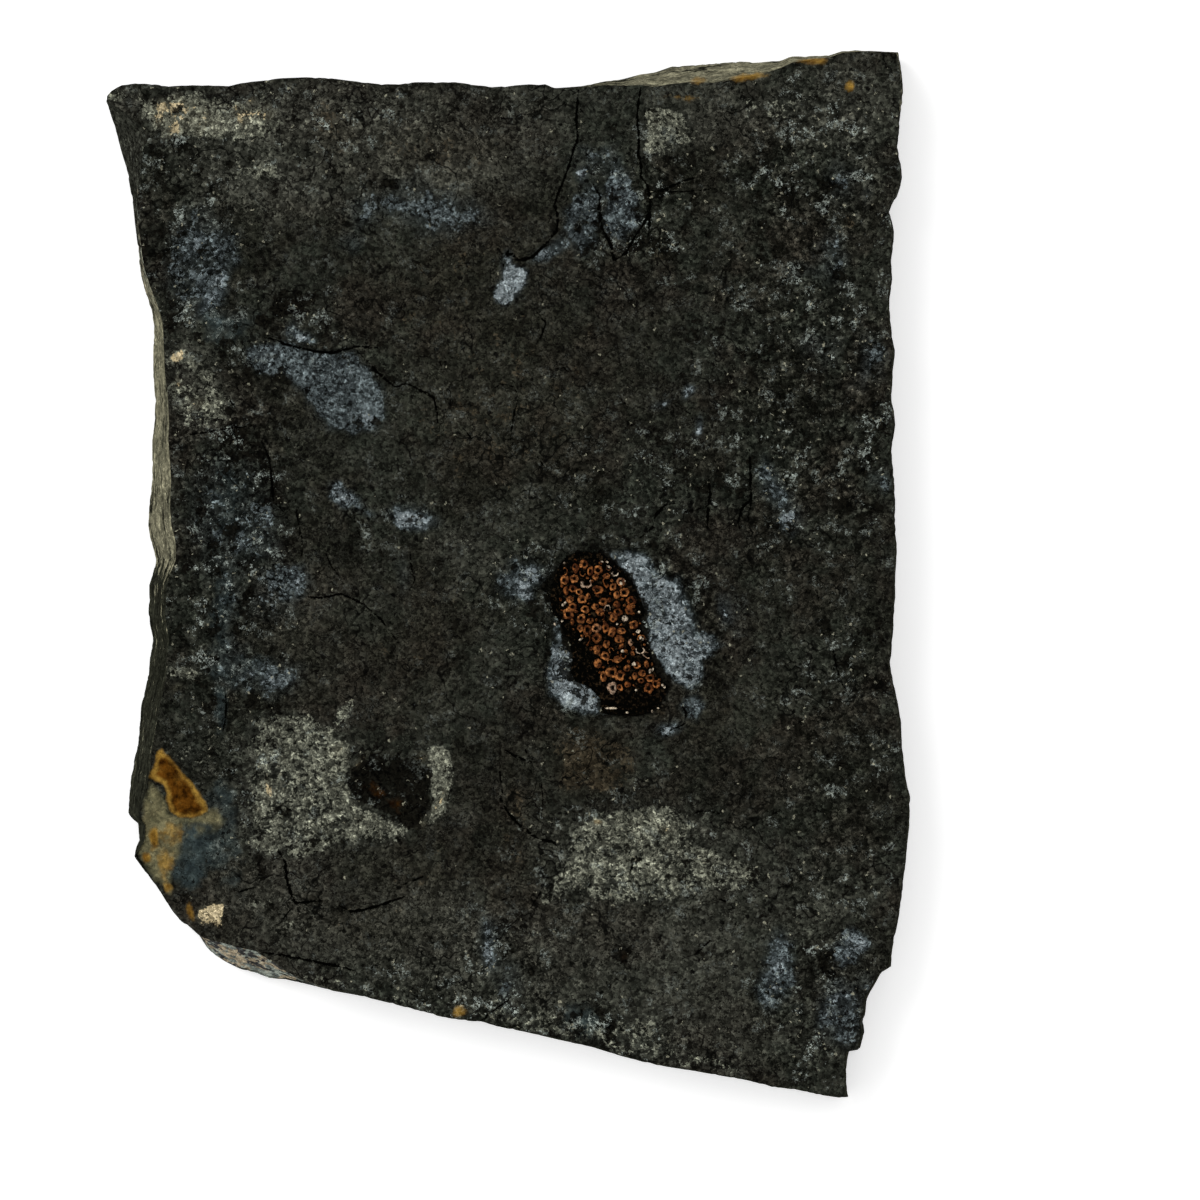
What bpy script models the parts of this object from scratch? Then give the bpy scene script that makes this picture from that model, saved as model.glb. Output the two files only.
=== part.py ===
"""Cluster of fossil amphibian eggs lying in a broken slab of dark shale.

The slab lies flat on its underside: +X is the slab's right, +Y is its upper end and
+Z is the bedding face that shows the eggs. The origin is under the middle of the slab.
"""

import math
import random

import bmesh
import bpy
from mathutils import Matrix, Vector, noise

# Driving dimensions, in metres.
MM = 0.001
SLAB_LENGTH = 115.5 * MM      # upper corner to lower edge, along +Y
SLAB_THICKNESS = 8.6 * MM     # underside to bedding face
WINDOW_DEPTH = 0.7 * MM       # shallow window scraped free around the eggs
MASS_SEAT = 1.0 * MM          # black mass below the window's floor
MASS_CROWN = 0.75 * MM        # black mass above the window's floor, in its middle
MASS_SHOULDER = 0.2 * MM      # black mass above the window's floor, at its edge
EGG_RISE = 0.34 * MM          # an egg's rim above the black mass
SEAT_GAP = 0.3 * MM           # clearance between the black mass and the shale
RELIEF_PITCH = 4.2 * MM       # spacing of the facets on the bedding face
RAGGED = 0.12 * MM            # how unevenly each layer's edge is broken
CRACK_RADIUS = 0.2 * MM
RIM = 0.33 * MM               # how far the bedding face stops short of a steep side
ABOVE = 2 * MM                # cutters end this far above the bedding face
SWELL_SIZE = 24 * MM          # the bedding face's broad swells
SWELL_HEIGHT = 0.16 * MM
LUMP_SIZE = 6 * MM            # its smaller lumps
LUMP_HEIGHT = 0.1 * MM
LUMP_SLICE = 5 * MM           # level of the noise that the lumps are read at
MASS_SPREAD = 3.2 * MM        # the black mass is at its full height this far in from its edge
MASS_LUMP_SIZE = 2.5 * MM
MASS_LUMP_HEIGHT = 0.08 * MM
MASS_LUMP_SLICE = 9 * MM
MASS_PITCH = 1.7 * MM         # spacing of the facets on the black mass
MASS_CUTS = 10                # facet lines to each side of its middle
MASS_STEP = 1.5               # its shoulder is this many pixels in from its foot
CUT_TOLERANCE = 0.01 * MM
SLAB_WELD = 0.25 * MM         # facet corners nearer than this become one
MASS_WELD = 0.12 * MM

# Places on the bedding face are read off the photograph, in its pixels.
PHOTO_LENGTH = 1050
PHOTO_MIDDLE = (508, 574)
MASS_MIDDLE = (608, 634)
PIXEL = SLAB_LENGTH / PHOTO_LENGTH

# The broken outline, clockwise from the upper left corner.
UPPER_EDGE = (
    (105, 100), (109, 92), (120, 84), (136, 82), (205, 84), (255, 80), (305, 76),
    (380, 82), (430, 81), (505, 84), (555, 86), (585, 85), (605, 80), (655, 71),
    (690, 64), (740, 60), (780, 59), (805, 55), (855, 49), (899, 51),
)
RIGHT_EDGE = (
    (904, 89), (901, 113), (899, 146), (903, 175), (898, 196), (890, 211), (895, 232),
    (892, 261), (890, 300), (895, 350), (892, 400), (896, 425), (892, 450), (896, 500),
    (898, 550), (895, 617), (891, 667), (902, 723), (906, 774), (911, 797), (910, 828),
    (907, 860), (900, 916), (893, 950), (892, 967), (882, 973), (870, 995), (866, 1014),
    (865, 1033), (861, 1049), (850, 1051), (847, 1069), (849, 1098),
)
LOWER_EDGE = (
    (841, 1099), (798, 1091), (746, 1081), (694, 1072), (621, 1057), (573, 1044),
    (495, 1027), (420, 1012), (357, 996), (311, 986), (269, 979), (240, 970),
    (212, 954), (200, 937),
)
LEFT_EDGE = (
    (181, 922), (158, 889), (134, 857), (139, 841), (138, 823), (129, 814), (131, 776),
    (139, 742), (141, 705), (149, 660), (147, 614), (155, 560), (147, 525), (151, 450),
    (154, 400), (153, 325), (148, 300), (140, 275), (133, 225), (127, 175), (115, 131),
)

# Where the broken side slopes, the bedding face stops short of the outline:
# (place along the edge, width of the slope), in pixels.
LEFT_SLOPE = (
    (100, 2), (131, 30), (175, 16), (205, 8), (275, 7), (325, 11), (400, 14),
    (450, 19), (540, 27), (600, 19), (742, 17), (814, 15), (841, 7), (937, 3),
)
UPPER_SLOPE = (
    (105, 3), (575, 3), (605, 6), (655, 15), (712, 19), (758, 16), (805, 7), (874, 3), (899, 3),
)
LOWER_SLOPE = ((200, 3), (212, 14), (240, 22), (269, 22), (311, 5), (357, 3), (849, 3))

# The shale's layers from the underside up: top height as a share of the thickness,
# how far the layer is broken back all round, and its share of the slope's width.
LAYERS = (
    (0.13, 0.38 * MM, 0.04),
    (0.34, 0.0 * MM, 0.0),
    (0.53, 0.26 * MM, 0.3),
    (0.74, 0.1 * MM, 0.62),
    (1.0, 0.3 * MM, 1.0),
)

# Thin flakes lost from the bedding face: depth and outline.
FLAKES = {
    "upper_left": (0.4 * MM, (
        (240, 345), (265, 338), (316, 353), (358, 353), (378, 378), (391, 392),
        (384, 410), (376, 426), (345, 433), (318, 412), (300, 384), (262, 372),
    )),
    "left_middle": (0.5 * MM, (
        (206, 433), (262, 427), (272, 472), (276, 502), (298, 520), (306, 556),
        (300, 600), (262, 612), (244, 640), (222, 622), (212, 590), (208, 520),
    )),
    "upper_middle": (0.35 * MM, (
        (577, 140), (606, 143), (637, 160), (641, 178), (650, 200), (634, 240),
        (615, 258), (606, 238), (580, 252), (555, 252), (557, 206), (566, 175),
    )),
    "pale_chip": (0.3 * MM, (
        (497, 272), (513, 268), (528, 278), (524, 300), (506, 305), (494, 298),
    )),
    "cream_lower_left": (0.3 * MM, (
        (252, 726), (284, 712), (318, 738), (312, 778), (312, 818), (332, 842),
        (300, 858), (262, 852), (250, 800), (256, 764),
    )),
    "cream_lower_middle": (0.35 * MM, (
        (590, 812), (622, 818), (650, 798), (676, 820), (690, 846), (742, 858),
        (770, 882), (700, 896), (664, 906), (610, 898), (566, 905), (552, 884),
        (572, 850),
    )),
    "lower_right_corner": (0.7 * MM, (
        (800, 1000), (812, 962), (836, 942), (866, 950), (900, 960), (900, 985),
        (884, 1010), (878, 1060), (838, 1056), (804, 1036),
    )),
    "lower_left_corner": (0.45 * MM, (
        (158, 752), (176, 768), (206, 804), (216, 830), (202, 884), (176, 890),
        (140, 872), (120, 850), (146, 800),
    )),
}

# The window scraped around the eggs, with a straight upper and lower cut.
WINDOW = (
    (560, 551), (608, 549), (652, 551), (668, 572), (684, 580), (696, 614), (700, 634),
    (722, 642), (718, 656), (704, 662), (700, 684), (672, 700), (656, 717), (602, 716),
    (556, 711), (546, 690), (546, 640), (544, 600), (548, 570),
)

# Pits in the bedding face: middle, half width, half height and depth.
PITS = (
    ((294, 310), 21, 20, 0.9 * MM),
    ((282, 381), 13, 11, 0.7 * MM),
    ((390, 789), 37, 27, 1.5 * MM),
    ((619, 956), 12, 13, 0.8 * MM),
    ((262, 870), 7, 12, 0.8 * MM),
    ((836, 966), 9, 16, 0.9 * MM),
    ((698, 858), 11, 8, 0.4 * MM),
    ((818, 636), 15, 11, 0.3 * MM),
)

# Open cracks along the bedding face.
CRACKS = (
    ((579, 92), (576, 124), (577, 140), (570, 164), (563, 183), (555, 206), (559, 231),
     (532, 258), (510, 254)),
    ((641, 88), (637, 122), (640, 170), (650, 192), (650, 236)),
    ((652, 194), (676, 186), (702, 176)),
    ((265, 338), (287, 345), (318, 352), (340, 351), (378, 348)),
    ((358, 353), (378, 372), (398, 388)),
    ((407, 384), (434, 397), (437, 424)),
    ((263, 952), (312, 960), (361, 971)),
    ((279, 851), (287, 866), (289, 884), (295, 902), (322, 901), (352, 910), (386, 902),
     (420, 893)),
    ((326, 738), (314, 776), (312, 816), (332, 828), (352, 846)),
    ((831, 642), (833, 660), (842, 686)),
    ((500, 800), (518, 820), (538, 838)),
)

# The black carbon mass that holds the eggs.
MASS_OUTLINE = (
    (567, 556), (580, 552), (600, 553), (614, 562), (621, 569), (633, 585), (641, 600),
    (644, 611), (640, 619), (641, 628), (646, 640), (653, 662), (656, 675), (668, 688),
    (664, 698), (656, 706), (652, 713), (630, 715), (603, 713), (600, 698), (588, 686),
    (575, 681), (571, 672), (573, 655), (570, 640), (563, 632), (560, 622), (553, 612),
    (550, 598), (554, 580), (559, 566),
)

# The eggs: middle, width, height and turn in degrees. A cup is hollow and open on
# top, a dome is whole, and a curl is a broken shell that is open on one side, where
# its turn points.
CUPS = (
    (584, 564, 9, 9, 0), (565, 579.5, 9, 10, 0), (575.5, 580, 8, 8, 0),
    (590.5, 571, 6, 10, 10), (598, 570, 9, 9, 0), (573, 588, 8, 7, 0),
    (579.5, 592, 7, 6, 40), (582, 600, 8, 8, 0), (599, 590, 8, 9, 0),
    (613, 587, 8, 8, 20), (620.5, 582, 9, 10, 20), (624, 592, 8, 9, 0),
    (605, 600, 11, 8, 0), (567.5, 614, 8, 11, 0), (584.5, 609, 8, 7, 0),
    (580.5, 619, 8, 8, 30), (596.5, 628, 8, 8, 0), (597, 638, 9, 9, 0),
    (586, 631, 6, 9, 15), (618, 612, 8, 7, 0), (634, 625, 9, 7, 45),
    (605, 656, 9, 9, 0), (611, 672.5, 10, 11, 30), (621, 676.5, 10, 9, 0),
    (603.5, 676.5, 6, 11, 0), (618.5, 687.5, 5, 6, 0), (611.5, 686.5, 8, 11, 0),
    (651, 678, 7, 7, 0), (645, 679, 5, 6, 0), (648.5, 687.5, 8, 8, 0),
    (656.5, 684, 8, 7, 30), (638, 666, 8, 7, 0), (631, 601, 9, 10, 0),
    (605, 628, 7, 9, 0), (573, 605, 9, 8, 0),
)
DOMES = (
    (575.5, 569, 7, 10, 0), (596, 577.5, 7, 5, 0), (587.5, 596.5, 7, 6, 0),
    (570.5, 598.5, 7, 8, 0), (605.5, 575.5, 8, 7, 0), (616.5, 594.5, 7, 8, 0),
    (599.5, 610.5, 8, 9, 0), (590, 620.5, 7, 6, 0), (580, 627, 6, 7, 0),
    (617.5, 604, 5, 7, 30), (630.5, 610, 8, 9, 0), (613.5, 618, 6, 9, 30),
    (624.5, 618.5, 7, 5, 0), (613, 632, 8, 9, 0), (620, 638.5, 8, 6, 30),
    (606.5, 643, 7, 7, 0), (621.5, 646, 6, 4, 45), (597.5, 649, 7, 9, 0),
    (598, 663.5, 8, 8, 0), (617.5, 658.5, 7, 6, 0), (627.5, 667.5, 8, 5, 140),
    (628, 686, 7, 5, 0), (646.5, 664.5, 5, 8, 0), (643, 673, 6, 7, 0),
    (630, 642, 5, 5, 0), (637, 633, 6, 6, 0), (650, 671, 3.5, 5, 0),
    (573, 622, 5, 7, 0), (635, 676, 5, 7, 0),
)
CURLS = (
    (566, 571.5, 9, 6, 100), (584, 575, 7, 7, 225), (586, 583.5, 11, 10, 60),
    (566.5, 592, 7, 9, 0), (606, 583, 10, 7, 270), (594.5, 607, 7, 9, 200),
    (601, 617, 9, 5, 90), (588, 640, 9, 6, 90), (607, 609, 8, 8, 180),
    (614, 574.5, 7, 7, 225), (611, 651, 5, 7, 0), (622.5, 656.5, 7, 7, 225),
    (639.5, 650, 9, 8, 80), (646, 654.5, 7, 9, 170), (639.5, 640, 8, 8, 20),
    (610, 661, 6, 5, 0),
)
EGG_SIDES = 7
EGG_ROOT = -0.35 * MM         # an egg's foot, down in the black mass
CURL_ARC = math.radians(230)
CURL_STEPS = 5
EGG_SHELL = 1.9               # thickness of an egg's wall, in pixels

SLAB_COLOUR = (0.027, 0.025, 0.020, 1.0)
MASS_COLOUR = (0.004, 0.004, 0.004, 1.0)
EGG_COLOUR = (0.42, 0.20, 0.07, 1.0)

rng = random.Random(7)


def spot(place, height=0.0):
    """Turn a place in the photograph into a point at a height."""
    x = (place[0] - PHOTO_MIDDLE[0]) * PIXEL
    y = (PHOTO_MIDDLE[1] - place[1]) * PIXEL
    return Vector((x, y, height))


def along(table, place):
    """Read a width between the rows of a slope table, and turn it into metres."""
    for (start, first), (end, second) in zip(table, table[1:]):
        if start <= place <= end:
            share = (place - start) / (end - start)
            return (first + (second - first) * share) * PIXEL
    return RIM


def bedding_height(x, y):
    """The gently uneven bedding face."""
    swell = noise.noise(Vector((x, y, 0.0)) / SWELL_SIZE)
    lump = noise.noise(Vector((x, y, LUMP_SLICE)) / LUMP_SIZE)
    return SLAB_THICKNESS + SWELL_HEIGHT * swell + LUMP_HEIGHT * lump


def finish_material(name, colour, roughness):
    """A plain material of the part's colour."""
    material = bpy.data.materials.new(name)
    material.use_nodes = True
    shader = material.node_tree.nodes["Principled BSDF"]
    shader.inputs["Base Color"].default_value = colour
    shader.inputs["Roughness"].default_value = roughness
    shader.inputs["Metallic"].default_value = 0.0
    return material


def object_from(bm, name, materials=()):
    """Put a finished bmesh into the scene with its faces pointing out."""
    bmesh.ops.recalc_face_normals(bm, faces=bm.faces)
    mesh = bpy.data.meshes.new(name)
    bm.to_mesh(mesh)
    bm.free()
    for material in materials:
        mesh.materials.append(material)
    obj = bpy.data.objects.new(name, mesh)
    bpy.context.scene.collection.objects.link(obj)
    return obj


def hide_cutter(obj):
    """A cutter takes no part in the model itself."""
    obj.hide_render = True
    obj.display_type = 'WIRE'


def combine(target, other, operation):
    """Cut another object from the target, or join it on."""
    hide_cutter(other)
    modifier = target.modifiers.new(other.name, 'BOOLEAN')
    modifier.object = other
    modifier.operation = operation
    modifier.material_mode = 'TRANSFER'
    return modifier


def raise_face(bm, face, keep=False):
    """Extrude a face and hand back its raised copy; a first face stays as the floor."""
    grown = bmesh.ops.extrude_face_region(bm, geom=[face])["geom"]
    if not keep:
        bmesh.ops.delete(bm, geom=[face], context='FACES_ONLY')
    return next(item for item in grown if isinstance(item, bmesh.types.BMFace))


def outline_shifts():
    """Each outline point with the step from it to the edge of the bedding face."""
    rows = [(p, Vector((0, -along(UPPER_SLOPE, p[0]), 0))) for p in UPPER_EDGE]
    rows += [(p, Vector((-RIM, 0, 0))) for p in RIGHT_EDGE]
    rows += [(p, Vector((0, along(LOWER_SLOPE, p[0]), 0))) for p in LOWER_EDGE]
    rows += [(p, Vector((along(LEFT_SLOPE, p[1]), 0, 0))) for p in LEFT_EDGE]
    return [(spot(place), shift) for place, shift in rows]


def inward(points, index):
    """The direction into a clockwise outline at one of its points."""
    ahead = points[(index + 1) % len(points)] - points[index - 1]
    return Vector((ahead.y, -ahead.x, 0)).normalized()


def place_ring(face, rows, index_layer, layer, height):
    """Move a face's corners to where a broken layer of shale ends."""
    broken_back, slope_share = layer
    points = [point for point, shift in rows]
    for vert in face.verts:
        index = vert[index_layer]
        point, shift = rows[index]
        ragged = rng.uniform(0.0, RAGGED) if broken_back else 0.0
        vert.co = point + shift * slope_share + inward(points, index) * (broken_back + ragged)
        vert.co.z = height


def make_slab(material):
    """Stack the broken layers on the underside, then give the top its low relief."""
    rows = outline_shifts()
    bm = bmesh.new()
    index_layer = bm.verts.layers.int.new("outline_index")
    for index, (point, shift) in enumerate(rows):
        vert = bm.verts.new(point)
        vert[index_layer] = index
    top = bm.faces.new(bm.verts)
    below = 0.0
    for number, (share, *layer) in enumerate(LAYERS):
        above = share * SLAB_THICKNESS
        if number > 0:
            top = raise_face(bm, top)
        place_ring(top, rows, index_layer, layer, below)
        top = raise_face(bm, top, keep=number == 0)
        place_ring(top, rows, index_layer, layer, above)
        below = above
    facet_top(bm, top)
    bmesh.ops.triangulate(bm, faces=bm.faces)
    return object_from(bm, "shale_slab", [material])


def facet_top(bm, top):
    """Cut the top face along a grid and raise its points to the bedding face."""
    region = [top, *top.edges, *top.verts]
    half_length = SLAB_LENGTH / 2
    steps = math.ceil(half_length / RELIEF_PITCH)
    for axis in (Vector((1, 0.08, 0)), Vector((-0.06, 1, 0))):
        for step in range(-steps, steps + 1):
            line = axis * (step * RELIEF_PITCH)
            region = bmesh.ops.bisect_plane(
                bm, geom=region, plane_co=line, plane_no=axis, dist=CUT_TOLERANCE)["geom"]
    verts = [item for item in region if isinstance(item, bmesh.types.BMVert)]
    bmesh.ops.remove_doubles(bm, verts=verts, dist=SLAB_WELD)
    for vert in verts:
        if vert.is_valid:
            vert.co.z = bedding_height(vert.co.x, vert.co.y)


def outline_cutter(name, outline, depth):
    """A block whose uneven floor lies a depth below the bedding face."""
    bm = bmesh.new()
    for place in outline:
        point = spot(place)
        floor = bedding_height(point.x, point.y) - depth * rng.uniform(0.8, 1.2)
        bm.verts.new((point.x, point.y, floor))
    floor_face = bm.faces.new(bm.verts)
    centre = floor_face.calc_center_median()
    lid = raise_face(bm, floor_face, keep=True)
    for vert in lid.verts:
        vert.co += (vert.co - centre) * 0.03
        vert.co.z = SLAB_THICKNESS + ABOVE
    bmesh.ops.triangulate(bm, faces=bm.faces)
    return object_from(bm, name)


def pit_cutter(name, middle, half_width, half_height, depth):
    """A rough ball sunk into the bedding face."""
    bm = bmesh.new()
    bmesh.ops.create_icosphere(bm, subdivisions=2, radius=1.0)
    centre = spot(middle)
    centre.z = bedding_height(centre.x, centre.y)
    for vert in bm.verts:
        rough = rng.uniform(0.86, 1.08)
        vert.co.x *= half_width * PIXEL * rough
        vert.co.y *= half_height * PIXEL * rough
        vert.co.z *= depth * rough
        vert.co += centre
    return object_from(bm, name)


def crack_cutter(name, path):
    """A thin square tube along a crack, half sunk into the bedding face."""
    curve = bpy.data.curves.new(name, 'CURVE')
    curve.dimensions = '3D'
    curve.bevel_depth = CRACK_RADIUS
    curve.bevel_resolution = 0
    curve.use_fill_caps = True
    spline = curve.splines.new('POLY')
    spline.points.add(len(path) - 1)
    for point, place in zip(spline.points, path):
        middle = spot(place)
        point.co = (*middle.xy, bedding_height(middle.x, middle.y), 1.0)
    tube = bpy.data.objects.new(name, curve)
    bpy.context.scene.collection.objects.link(tube)
    bpy.context.view_layer.update()
    mesh = bpy.data.meshes.new_from_object(tube)
    bpy.data.objects.remove(tube)
    obj = bpy.data.objects.new(name, mesh)
    bpy.context.scene.collection.objects.link(obj)
    return obj


def widened(outline, width):
    """An outline moved outwards all round, as points."""
    points = [spot(place) for place in outline]
    return [point - inward(points, i) * width for i, point in enumerate(points)]


def seat_cutter():
    """The hollow in the window's floor that the black mass sits in."""
    bm = bmesh.new()
    floor = SLAB_THICKNESS - WINDOW_DEPTH - MASS_SEAT - SEAT_GAP
    for point in widened(MASS_OUTLINE, SEAT_GAP):
        bm.verts.new((point.x, point.y, floor))
    lid = raise_face(bm, bm.faces.new(bm.verts), keep=True)
    for vert in lid.verts:
        vert.co.z = SLAB_THICKNESS + ABOVE
    return object_from(bm, "seat_cutter")


def mass_height(x, y):
    """The low dome of the black mass, flat towards its lower end."""
    window_floor = SLAB_THICKNESS - WINDOW_DEPTH
    nearest = min(
        (Vector((x, y)) - spot(place).xy).length for place in MASS_OUTLINE)
    rise = min(1.0, nearest / MASS_SPREAD)
    dome = math.sin(rise * math.pi / 2)
    lump = noise.noise(Vector((x, y, MASS_LUMP_SLICE)) / MASS_LUMP_SIZE) * MASS_LUMP_HEIGHT
    return window_floor + MASS_SHOULDER + (MASS_CROWN - MASS_SHOULDER) * dome + lump


def make_mass(materials):
    """The black mass: a thick film with a domed, uneven top."""
    bm = bmesh.new()
    floor = SLAB_THICKNESS - WINDOW_DEPTH - MASS_SEAT
    for place in MASS_OUTLINE:
        bm.verts.new(spot(place, floor))
    base = bm.faces.new(bm.verts)
    top = base
    for height, width in ((MASS_SEAT, 0.0), (MASS_SHOULDER, MASS_STEP * PIXEL)):
        top = raise_face(bm, top, keep=top is base)
        centre = top.calc_center_median()
        for vert in top.verts:
            vert.co.z += height
            vert.co.xy -= (vert.co - centre).normalized().xy * width
    region = [top, *top.edges, *top.verts]
    for axis in (Vector((1, 0, 0)), Vector((0, 1, 0))):
        for step in range(-MASS_CUTS, MASS_CUTS + 1):
            line = spot(MASS_MIDDLE) + axis * (step * MASS_PITCH)
            region = bmesh.ops.bisect_plane(
                bm, geom=region, plane_co=line, plane_no=axis, dist=CUT_TOLERANCE)["geom"]
    verts = [item for item in region if isinstance(item, bmesh.types.BMVert)]
    bmesh.ops.remove_doubles(bm, verts=verts, dist=MASS_WELD)
    for vert in verts:
        if vert.is_valid:
            vert.co.z = mass_height(vert.co.x, vert.co.y)
    bmesh.ops.triangulate(bm, faces=bm.faces)
    return object_from(bm, "egg_cluster", materials)


def place_egg(bm, start, egg):
    """Stretch, turn and move the newest egg from the unit circle to its place."""
    x, y, width, height, turn = egg
    centre = spot((x, y))
    centre.z = mass_height(centre.x, centre.y)
    stretch = Matrix.Diagonal((width / 2 * PIXEL, height / 2 * PIXEL, 1, 1))
    turned = Matrix.Rotation(math.radians(turn), 4, 'Z')
    bm.verts.ensure_lookup_table()
    bmesh.ops.transform(
        bm, matrix=Matrix.Translation(centre) @ turned @ stretch, verts=bm.verts[start:])


def add_turned_egg(bm, egg, profile):
    """Raise an egg from a disc through the rings (spread, height) of its profile."""
    start = len(bm.verts)
    disc = bmesh.ops.create_circle(bm, cap_ends=True, segments=EGG_SIDES, radius=1.0)
    top = disc["verts"][0].link_faces[0]
    for vert in top.verts:
        vert.co.z = EGG_ROOT
    foot = top
    spread = 1.0
    for new_spread, height in profile:
        top = raise_face(bm, top, keep=top is foot)
        for vert in top.verts:
            vert.co.xy *= new_spread / spread
            vert.co.z = height
        spread = new_spread
    place_egg(bm, start, egg)


def add_curl(bm, egg, rise):
    """Spin a piece of egg wall round part of a circle, open towards +X."""
    start = len(bm.verts)
    inner = 1.0 - 2 * EGG_SHELL / min(egg[2], egg[3])
    wall = ((1.0, EGG_ROOT), (1.0, rise * 0.6), (inner * 1.1, rise), (inner, EGG_ROOT))
    corners = [bm.verts.new((radius, 0, height)) for radius, height in wall]
    face = bm.faces.new(corners)
    opening = math.tau - CURL_ARC
    bmesh.ops.rotate(
        bm, verts=corners, cent=(0, 0, 0), matrix=Matrix.Rotation(opening / 2, 3, 'Z'))
    bmesh.ops.spin(
        bm, geom=[face, *face.edges, *face.verts], cent=(0, 0, 0), axis=(0, 0, 1),
        angle=CURL_ARC, steps=CURL_STEPS, use_duplicate=False)
    place_egg(bm, start, egg)


def make_eggs(material):
    """All the eggs, as closed shells that reach down into the mass."""
    bm = bmesh.new()
    for egg in CUPS:
        rise = EGG_RISE * rng.uniform(0.8, 1.1)
        hole = 1.0 - 2 * EGG_SHELL / min(egg[2], egg[3])
        add_turned_egg(bm, egg, (
            (1.0, rise * 0.55), ((1.0 + hole) / 2, rise), (hole, 0.03 * MM)))
    for egg in DOMES:
        rise = EGG_RISE * rng.uniform(0.8, 1.1)
        add_turned_egg(bm, egg, ((1.0, rise * 0.5), (0.5, rise)))
    for egg in CURLS:
        add_curl(bm, egg, EGG_RISE * rng.uniform(0.8, 1.1))
    return object_from(bm, "eggs", [material])


for old in list(bpy.data.objects):
    bpy.data.objects.remove(old)

slab_material = finish_material("dark shale", SLAB_COLOUR, 0.9)
mass_material = finish_material("black carbon film", MASS_COLOUR, 0.55)
egg_material = finish_material("orange brown egg shell", EGG_COLOUR, 0.6)

slab = make_slab(slab_material)
for flake, (flake_depth, flake_outline) in FLAKES.items():
    combine(slab, outline_cutter("flake_" + flake, flake_outline, flake_depth), 'DIFFERENCE')
combine(slab, outline_cutter("window", WINDOW, WINDOW_DEPTH), 'DIFFERENCE')
combine(slab, seat_cutter(), 'DIFFERENCE')
for number, pit in enumerate(PITS):
    combine(slab, pit_cutter(f"pit_{number}", *pit), 'DIFFERENCE')
for number, crack in enumerate(CRACKS):
    combine(slab, crack_cutter(f"crack_{number}", crack), 'DIFFERENCE')

cluster = make_mass([mass_material, egg_material])
join = combine(cluster, make_eggs(egg_material), 'UNION')
join.use_self = True
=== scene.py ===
import math
import random

import bmesh
import bpy
import numpy as np
from mathutils import Matrix, Vector, noise


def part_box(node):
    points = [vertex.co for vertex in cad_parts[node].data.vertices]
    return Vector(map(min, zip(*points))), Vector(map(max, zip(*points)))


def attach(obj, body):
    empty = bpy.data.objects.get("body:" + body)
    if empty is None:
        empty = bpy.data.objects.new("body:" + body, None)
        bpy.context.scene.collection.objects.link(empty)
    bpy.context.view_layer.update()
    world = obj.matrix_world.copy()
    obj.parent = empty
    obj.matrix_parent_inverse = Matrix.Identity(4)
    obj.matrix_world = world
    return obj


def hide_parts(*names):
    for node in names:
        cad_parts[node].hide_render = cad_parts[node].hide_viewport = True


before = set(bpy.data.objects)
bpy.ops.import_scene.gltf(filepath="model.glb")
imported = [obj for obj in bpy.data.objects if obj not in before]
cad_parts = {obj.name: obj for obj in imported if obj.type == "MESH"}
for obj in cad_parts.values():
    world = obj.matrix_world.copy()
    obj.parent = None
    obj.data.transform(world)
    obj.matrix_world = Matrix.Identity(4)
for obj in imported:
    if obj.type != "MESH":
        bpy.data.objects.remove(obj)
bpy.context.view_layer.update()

# The slab is one broken piece of dark laminated shale, lying on its underside. Its sides
# are stepped layers, and its bedding face has lost thin flakes, has pits and open cracks,
# and was scraped down in a shallow window round the fossil.
MM = 0.001
RELIEF_ROOM = 0.13 * MM
slab_low, slab_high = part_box("shale_slab")
BEDDING = slab_high[2] - RELIEF_ROOM
WINDOW_DEPTH = 0.7 * MM

# The slab's length and middle in the photograph's pixels give the size of one pixel.
PHOTO_LENGTH = 1050
PHOTO_MIDDLE = (508, 574)
pixel = (slab_high[1] - slab_low[1]) / PHOTO_LENGTH

# The outline as four sides, each a run of points in the photograph's pixels.
UPPER_EDGE = (
    (105, 100), (107, 95), (112, 89), (120, 84), (136, 82), (152, 83), (170, 85), (188, 84),
    (205, 84), (228, 85), (240, 82), (255, 80), (280, 77), (305, 76), (330, 77), (345, 79),
    (362, 81), (380, 83), (400, 83), (412, 81), (430, 81), (455, 81), (480, 84), (492, 86),
    (505, 85), (530, 83), (545, 83), (555, 87), (582, 85), (605, 80), (622, 78), (640, 73),
    (655, 71), (672, 65), (690, 64), (715, 62), (740, 60), (760, 61), (780, 59), (792, 55),
    (805, 55), (830, 54), (842, 50), (855, 49), (878, 50), (899, 51),
)
RIGHT_EDGE = (
    (899, 51), (902, 68), (904, 89), (903, 102), (901, 113), (900, 130), (898, 146),
    (901, 160), (903, 175), (901, 186), (898, 196), (893, 203), (890, 211), (893, 222),
    (895, 232), (894, 244), (892, 261), (893, 280), (890, 300), (891, 318), (893, 336),
    (896, 350), (894, 368), (893, 385), (892, 400), (895, 412), (896, 425), (894, 438),
    (892, 450), (894, 466), (895, 480), (896, 500), (896, 525), (898, 550), (896, 575),
    (896, 600), (895, 617), (893, 642), (891, 667), (894, 680), (898, 700), (902, 723),
    (903, 745), (906, 774), (908, 786), (911, 797), (910, 828), (908, 845), (907, 860),
    (904, 885), (900, 916), (896, 935), (893, 950), (892, 967), (887, 970), (882, 973),
    (876, 984), (870, 995), (867, 1004), (866, 1014), (864, 1022), (865, 1033), (862, 1044),
    (861, 1049), (850, 1051), (848, 1060), (847, 1069), (847, 1084), (849, 1098),
)
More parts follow.
